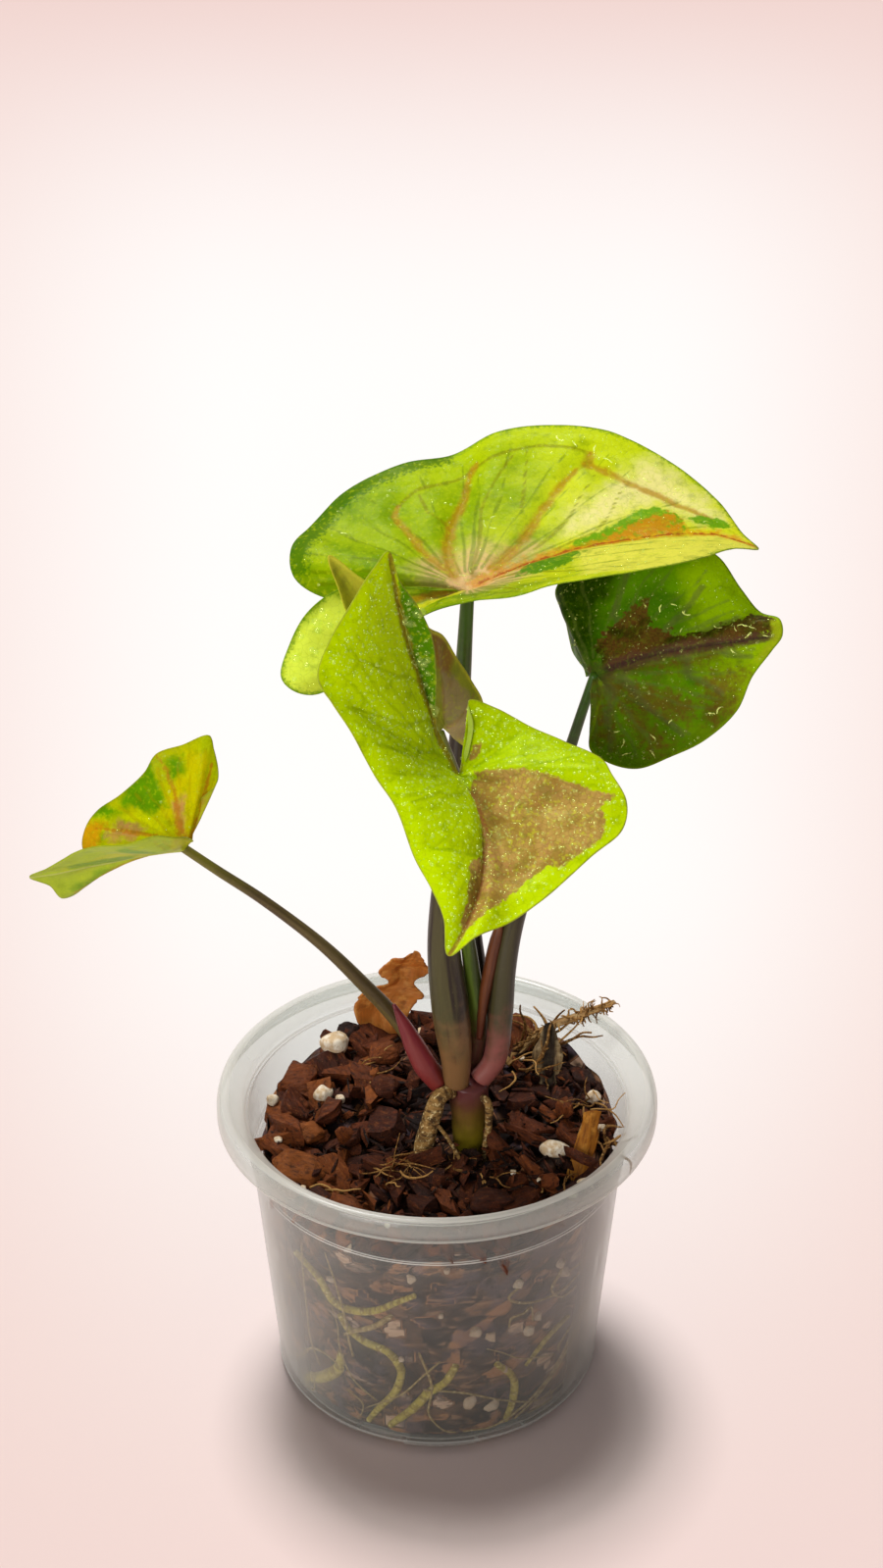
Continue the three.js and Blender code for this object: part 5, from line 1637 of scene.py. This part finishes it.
def wander(random, start, heading, length):
    """A wandering path that stays on the surface of the mix or above it."""
    place = np.array(start, float)
    heading = unit(np.array(heading, float))
    path = [place]
    for _ in range(FIBRE_STEPS):
        heading = unit(heading + FIBRE_CURL * random.normal(size=3) * [1, 1, 0.5])
        place = place + heading * length / FIBRE_STEPS
        place[2] = max(place[2], soil_top(place[0], place[1]) + FIBRE_LIFT)
        path.append(place)
    return path


# Where fibres start: place, heading, length, how many, thickness
FIBRES = [
    ((-17, -15), (0.9, -0.2, 0.1), 13, 5, 0.24), ((-12, -18), (0.3, -0.9, 0.1), 12, 5, 0.26),
    ((-8, -14), (-0.3, -0.9, 0), 10, 4, 0.24), ((37, 4), (0.3, -0.8, 0.3), 15, 8, 0.26),
    ((42, -6), (0.1, -0.9, 0.2), 12, 8, 0.4), ((24, 26), (0.9, 0, 0.5), 15, 12, 0.42),
    ((-30, -20), (0.8, -0.5, 0), 10, 4, 0.24), ((12, -22), (0.6, -0.5, 0), 10, 4, 0.24),
    ((-20, 20), (0.8, 0.2, 0), 12, 4, 0.24), ((4, -12), (-0.2, -0.8, -0.3), 8, 6, 0.24),
    ((22, 18), (0.8, -0.3, 0.2), 11, 10, 0.28), ((30, -28), (0.8, 0.3, 0), 9, 4, 0.22),
]
fibres = Batch()
for (x, y), heading, length, count, radius in FIBRES:
    for _ in range(count):
        at = np.array([x, y]) + random.normal(size=2) * FIBRE_SPREAD
        start = (at[0], at[1], drawn(random, soil_top(*at) + FIBRE_START, 1))
        towards = np.array(heading) + FIBRE_CURL * random.normal(size=3)
        path = wander(random, start, towards, length * drawn(random, *FIBRE_SHARE))
        fibre(fibres, path, radius * drawn(random, *FIBRE_SHARE), random.random())
# Frayed fibre along the dry strip
FRAYED = [(19, 26, 73), (27, 27.4, 80.6), (37.4, 26, 86.8), (45, 25.4, 90.4)]
FRAY_COUNT = 90
FRAY = {
    "lean": [0.6, 0, 0.1], "steps": 4, "turn": 0.6, "step": (0.5, 0.9), "radius": (0.16, 0.16),
    "bunching": 0.8,
}
for _ in range(FRAY_COUNT):
    start = through(FRAYED, [(len(FRAYED) - 1) * random.random() ** FRAY["bunching"]])[0]
    heading = unit(random.normal(size=3) + FRAY["lean"])
    path = [start]
    for _ in range(FRAY["steps"]):
        heading = unit(heading + FRAY["turn"] * random.normal(size=3))
        path.append(path[-1] + heading * drawn(random, *FRAY["step"]))
    fibre(fibres, path, drawn(random, *FRAY["radius"]), random.random())
fibres.make("loose_fibres", root_material("fibre", "8e6432", "54361a", "c49c60"), "straw")


# The bark mix below: packed chips against the wall, and a dark bed under the loose ones

MIX = {
    "turns": 260, "side_rows": 92, "top_rings": 34, "bottom": 1.6, "foot_radius": 37.3, "foot_flare": 1.2,
    "wall_gap": 1.3, "sink": 3.2, "seeds": 1300, "relief": 1.4, "squash": 1.5, "pits": 0.25,
    "pit_size": 1.6, "crack": 1.6, "smoothings": 3, "grain_spread": 9,
}


def mix_reach(z):
    """Radius of the mix at a height: it follows the wall, and narrows to the foot."""
    by_wall = wall_radius(np.maximum(z, FOOT_HEIGHT)) - WALL - MIX["wall_gap"]
    return np.minimum(by_wall, MIX["foot_radius"] + (z - MIX["bottom"]) * MIX["foot_flare"])


def mix_body():
    """A body of packed chips: each point belongs to its nearest seed, and dips between two seeds."""
    turn = circle(MIX["turns"])
    rings = []
    rim_x, rim_y = BED_RADIUS * np.cos(turn), BED_RADIUS * np.sin(turn)
    rim_top = soil_top(rim_x, rim_y)
    for part in np.linspace(0, 1, MIX["side_rows"]):
        z = MIX["bottom"] + part * (rim_top - MIX["bottom"])
        radius = mix_reach(z)
        rings.append(np.stack([radius * np.cos(turn), radius * np.sin(turn), z], 1))
    edge = mix_reach(rim_top)
    for part in np.linspace(1, 0.02, MIX["top_rings"])[1:]:
        x, y = edge * part * np.cos(turn), edge * part * np.sin(turn)
        sink = MIX["sink"] * smooth(1, 0.93, part)
        rings.append(np.stack([x, y, soil_top(x, y) - sink], 1))
    shell = np.vstack(rings)
    squash = np.array([1, 1, MIX["squash"]])
    draw = np.random.default_rng(11)
    seeds = shell[draw.integers(0, len(shell), MIX["seeds"])] + draw.normal(size=(MIX["seeds"], 3))
    first, second = np.full(len(shell), NONE_YET), np.full(len(shell), NONE_YET)
    owner = np.zeros(len(shell), int)
    scaled = shell * squash
    for number, seed in enumerate(seeds * squash):
        distance = np.sum((scaled - seed) ** 2, axis=1)
        closer = distance < first
        second = np.where(closer, first, np.minimum(second, distance))
        owner = np.where(closer, number, owner)
        first = np.where(closer, distance, first)
    edge_gap = np.sqrt(second) - np.sqrt(first)
    steps = draw.random(MIX["seeds"])[owner]
    depth = MIX["relief"] * (0.35 * steps + 0.65 * smooth(MIX["crack"], 0, edge_gap))
    depth += MIX["pits"] * np.abs(rough(shell, MIX["pit_size"], 31, 2))
    sheet = depth.reshape(-1, MIX["turns"])
    for _ in range(MIX["smoothings"]):
        sheet[1:-1] = (sheet[:-2] + 2 * sheet[1:-1] + sheet[2:]) / 4
        sheet[:] = (np.roll(sheet, 1, 1) + 2 * sheet + np.roll(sheet, -1, 1)) / 4
    inward = unit(shell * [-1, -1, 0])
    inward[MIX["side_rows"] * MIX["turns"]:] = (0, 0, -1)
    tone = draw.random(MIX["seeds"])
    centre = [[0, 0, MIX["bottom"]], [0, 0, float(soil_top(0, 0)) - MIX["sink"]]]
    points = np.vstack([shell + inward * depth[:, None], centre])
    apart = MIX["grain_spread"] * draw.random((MIX["seeds"], 3))
    grain = np.vstack([shell - seeds[owner] + apart[owner], np.zeros((2, 3))]) * MM
    fields = {"grain": grain, "tone": np.append(tone[owner], [0, 0]), "gap": np.append(edge_gap, [0, 0])}
    return points, capped_faces(len(rings), MIX["turns"]), fields


def mix_material():
    r = Recipe("bark_mix")
    grain = r.vector("grain")
    tone = r.field("tone")
    colour = r.tint("1c120e", "543a2c", tone, 0.1, 0.5)
    colour = r.tint(colour, "a06a44", tone, 0.6, 0.7, 0.9)
    colour = r.tint(colour, "2e2228", tone, 0.8, 0.82, 0.95)
    colour = r.tint(colour, "caa488", tone, 0.93, 0.95, 0.9)
    layered = r.noise(2.6, 3, 0.55, r.stretched(grain, 0.5, 0.5, 1.4))
    colour = r.tint(colour, "160d0a", layered, 0.5, 0.36, 0.7)
    colour = r.tint(colour, "9c7052", layered, 0.52, 0.68, 0.6)
    colour = r.tint(colour, "5a4a54", r.noise(9, 2), 0.5, 0.62, 0.5)
    # Near black along the cracks between packed chips: painted shade
    colour = r.tint(colour, "0e0806", r.field("gap"), 0.5, 0.05, 0.9)
    surface = r.shader(
        "Principled", Base_Color=colour, Roughness=0.8, Normal=r.bump(layered, 0.4, 0.6),
        Specular_IOR_Level=0.12)
    return r.done(surface)


points, faces, fields = mix_body()
make("bark_mix", points, faces, mix_material(), ["substrate"], fields)

# Thin roots between the mix and the wall: a branch of the second root, and rootlets
BRANCH = [(-15, 44.3), (-21.7, 39.1), (-29.2, 35.5), (-33, 33)]
BRANCH_RADIUS = 0.7
# A rootlet leans and falls by random angles and heights, more or less at each of its points
ROOTLET = {
    "count": 64, "gap": 0.5, "start": (8, 50), "lean": 5, "fall": -3, "fall_spread": 4, "points": 5,
    "lean_turn": 4, "fall_turn": 3, "lowest": 5, "highest": 63, "radius": (0.2, 0.22),
}
rootlets = Batch()
fibre(rootlets, wall_path(BRANCH, WALL + ROOTLET["gap"] + BRANCH_RADIUS), BRANCH_RADIUS, sides=12)
draw = np.random.default_rng(17)
for _ in range(ROOTLET["count"]):
    angle, z = 360 * draw.random() - 180, drawn(draw, *ROOTLET["start"])
    lean = ROOTLET["lean"] * draw.normal()
    fall = ROOTLET["fall"] + ROOTLET["fall_spread"] * draw.normal()
    run = []
    for _ in range(ROOTLET["points"]):
        run.append((angle, float(np.clip(z, ROOTLET["lowest"], ROOTLET["highest"]))))
        lean += ROOTLET["lean_turn"] * draw.normal()
        fall += ROOTLET["fall_turn"] * draw.normal()
        angle += lean
        z += fall
    radius = drawn(draw, *ROOTLET["radius"])
    fibre(rootlets, wall_path(run, WALL + ROOTLET["gap"] + radius), radius)
rootlets.make("fine_roots", root_material("rootlet", "a88c58", "7c6238", "d2bc8c"), "root")


# The tub

# Half the tub's section, as (radius, height): out along the bottom, up the outside and down the inside
POT_OUTLINE = [
    (38, 0), (40.2, 0.7), (41.2, 2.2), (41.8, 2.9), (41.5, 3.6), (46.7, 64.2), (47.3, 65), (48.05, 77.2),
    (49.4, 79.6), (51.7, 81.6), (53.2, 82.2), (54.2, 81.2), (54.2, 77.5), (55, 77.5), (55, 80.6),
    (54.5, 82.5), (53.3, 83.3), (52.1, 83.1), (51.1, 82.2), (48.7, 80), (47.25, 77.7), (46.5, 64.9),
    (45.9, 64.1), (40.7, 4.2), (39.4, 1.9), (37.6, 1.2),
]
POT_SEGMENTS = 192
FLOOR_THICKNESS = 1.2
FILLET = 0.45
SLOTS_ROUND = {"count": 8, "width": 13, "depth": 9, "height": 2.3, "radius": 41, "first": 0.42}


def rounded(outline, reach):
    """Cuts each corner of an outline into a short curve."""
    result = [outline[0]]
    for before, corner, after in zip(outline, outline[1:], outline[2:]):
        before, corner, after = np.array(before), np.array(corner), np.array(after)
        back, ahead = before - corner, after - corner
        short = min(reach, 0.4 * np.linalg.norm(back), 0.4 * np.linalg.norm(ahead))
        start = corner + back / np.linalg.norm(back) * short
        end = corner + ahead / np.linalg.norm(ahead) * short
        for t in (0, 0.5, 1):
            result.append(tuple((1 - t) ** 2 * start + 2 * t * (1 - t) * corner + t * t * end))
    result.append(outline[-1])
    return result


def pot():
    outline = np.array(rounded(POT_OUTLINE, FILLET))
    turn = circle(POT_SEGMENTS)
    rings = [np.stack([r * np.cos(turn), r * np.sin(turn), turn * 0 + z], 1) for r, z in outline]
    points = np.vstack([*rings, [[0, 0, 0], [0, 0, FLOOR_THICKNESS]]])
    faces = capped_faces(len(rings), POT_SEGMENTS)
    return make("tub", points, faces, pot_material(), ["pot"])


def cut_slots(tub):
    """Cuts the drain slots through the foot of the tub."""
    body = bmesh.new()
    size = Vector((SLOTS_ROUND["depth"], SLOTS_ROUND["width"], 2 * SLOTS_ROUND["height"])) * MM
    for k in range(SLOTS_ROUND["count"]):
        angle = SLOTS_ROUND["first"] + k * 2 * math.pi / SLOTS_ROUND["count"]
        cos, sin = math.cos(angle), math.sin(angle)
        for vert in bmesh.ops.create_cube(body, size=1)["verts"]:
            x, y, z = (vert.co[i] * size[i] for i in range(3))
            x += SLOTS_ROUND["radius"] * MM
            vert.co = (x * cos - y * sin, x * sin + y * cos, z)
    cutter = bpy.data.meshes.new("slots")
    body.to_mesh(cutter)
    body.free()
    cut = bpy.data.objects.new("slots", cutter)
    bpy.context.scene.collection.objects.link(cut)
    modifier = tub.modifiers.new("slots", "BOOLEAN")
    modifier.object = cut
    modifier.operation = "DIFFERENCE"
    modifier.solver = "EXACT"
    graph = bpy.context.evaluated_depsgraph_get()
    tub.data = bpy.data.meshes.new_from_object(tub.evaluated_get(graph))
    tub.modifiers.clear()
    bpy.data.objects.remove(cut)
    tub.data.shade_smooth()


# Rings where the wall is thicker and so milkier: height, half its width, amount
MILKY_RINGS = [(64.7, 0.4, 0.42), (77.5, 0.34, 0.5), (3.2, 0.4, 0.3), (81.2, 3.4, 0.18), (83.1, 0.3, 0.3)]


def pot_material():
    r = Recipe("milky_plastic")
    clear = r.shader("Transparent", Color="f2f5f4")
    diffuse_layer = r.shader("Diffuse", Color="f0efe8")
    milk = r.blend(0.5, diffuse_layer, r.shader("Translucent", Color="f4f3ec"))
    veil = r.math("ADD", r.grazing(0.02, 0.7, 2.4), r.wobble(0.04, 9, 3))
    for height, half, amount in MILKY_RINGS:
        off = r.math("ABSOLUTE", r.math("SUBTRACT", r.field("Z"), height))
        veil = r.math("ADD", veil, r.step(off, half, 0.5 * half, 0, amount))
    body = r.blend(veil, clear, milk)
    skin = r.bump(r.noise(14, 2), 0.1, 0.12)
    shine = r.shader("Glossy", Color="ffffff", Roughness=0.16, Normal=skin)
    return r.done(r.blend(r.grazing(0.02, 0.5), body, shine))


cut_slots(pot())

# Floor, lights and camera

FLOOR_SIZE = 24
FLOOR_DROP = 0.0002


def stage_floor():
    """A wide floor with a painted pool of light: whitest round the tub, and painted falloff, warmer to the
    sides, the front and the far back.
    """
    bpy.ops.mesh.primitive_plane_add(size=FLOOR_SIZE, location=(0, 0, -FLOOR_DROP))
    floor = bpy.context.object
    floor.name = "floor"
    r = Recipe("floor")
    away = r.math("MAXIMUM", r.math("ADD", r.field("Y"), 600), 100)
    aside = r.math("DIVIDE", r.math("ABSOLUTE", r.field("X")), away)
    # Painted light: whitest round the tub, falling off to pink to the sides, the front and the far back
    colour = r.tint("faf6f4", "efd9d3", aside, 0.07, 0.26)
    colour = r.tint(colour, "e9cfc9", r.field("Y"), 260, -160)
    colour = r.tint(colour, "e8cac4", r.field("Y"), 700, 1900)
    floor.data.materials.append(r.done(r.shader("Principled", Base_Color=colour, Roughness=0.9)))
    return floor


def linked(name, pieces, state):
    """A set of pieces that a lamp lights, or leaves out."""
    group = bpy.data.collections.new(name)
    for number, piece in enumerate(pieces):
        group.objects.link(piece)
        group.collection_objects[number].light_linking.link_state = state
    return group


def lamp(name, kind, power, turn):
    data = bpy.data.lights.new(name, kind)
    data.energy = power
    light = bpy.data.objects.new(name, data)
    light.rotation_euler = turn.to_euler()
    bpy.context.scene.collection.objects.link(light)
    return light


def soft_sun(name, towards, spread, power):
    light = lamp(name, "SUN", power, Vector(towards).to_track_quat("Z", "Y"))
    light.data.angle = math.radians(spread)
    return light


def area_light(name, at, aim, size, power):
    light = lamp(name, "AREA", power, (Vector(aim) - Vector(at)).to_track_quat("-Z", "Y"))
    light.data.size = size
    light.location = at
    return light


# One sun and one wide lamp light the plant and the tub. The floor has a sun of its own, which only the tub
# and its mix shade.
KEY_SUN = {"towards": (-0.16, 0.36, 1), "spread": 22, "power": 2.8}
FRONT_LAMP = {"at": (-0.5, -0.85, 0.45), "aim": (0, 0, 0.14), "size": 0.5, "power": 6.9}
FLOOR_SUN = {"towards": (-0.1, 0.34, 1), "spread": 16, "power": 2.9}
WORLD_COLOUR, WORLD_STRENGTH = (1, 0.985, 0.98, 1), 0.22

floor = stage_floor()
for light in (soft_sun("key", **KEY_SUN), area_light("front", **FRONT_LAMP)):
    light.light_linking.receiver_collection = linked(f"not_{light.name}", [floor], "EXCLUDE")
ground = soft_sun("ground", **FLOOR_SUN)
ground.light_linking.receiver_collection = linked("lit_floor", [floor], "INCLUDE")
low_pieces = [bpy.data.objects[name] for name in ("tub", "bark_mix", "loose_bark")]
ground.light_linking.blocker_collection = linked("floor_shade", low_pieces, "INCLUDE")

world = bpy.data.worlds.new("studio")
world.use_nodes = True
background = world.node_tree.nodes["Background"].inputs
background["Color"].default_value = WORLD_COLOUR
background["Strength"].default_value = WORLD_STRENGTH
bpy.context.scene.world = world

# The camera stands where the fit to the tub's circles put it
CAMERA_AT = (0.0011, -0.52, 0.4583)
CAMERA_TILT = 60.92
LENS = 58.54
camera_data = bpy.data.cameras.new("camera")
camera_data.lens = LENS
camera_data.clip_start = 0.01
camera = bpy.data.objects.new("camera", camera_data)
camera.location = CAMERA_AT
camera.rotation_euler = (math.radians(CAMERA_TILT), 0, 0)
bpy.context.scene.collection.objects.link(camera)
bpy.context.scene.camera = camera
bpy.context.scene.view_settings.view_transform = "Standard"
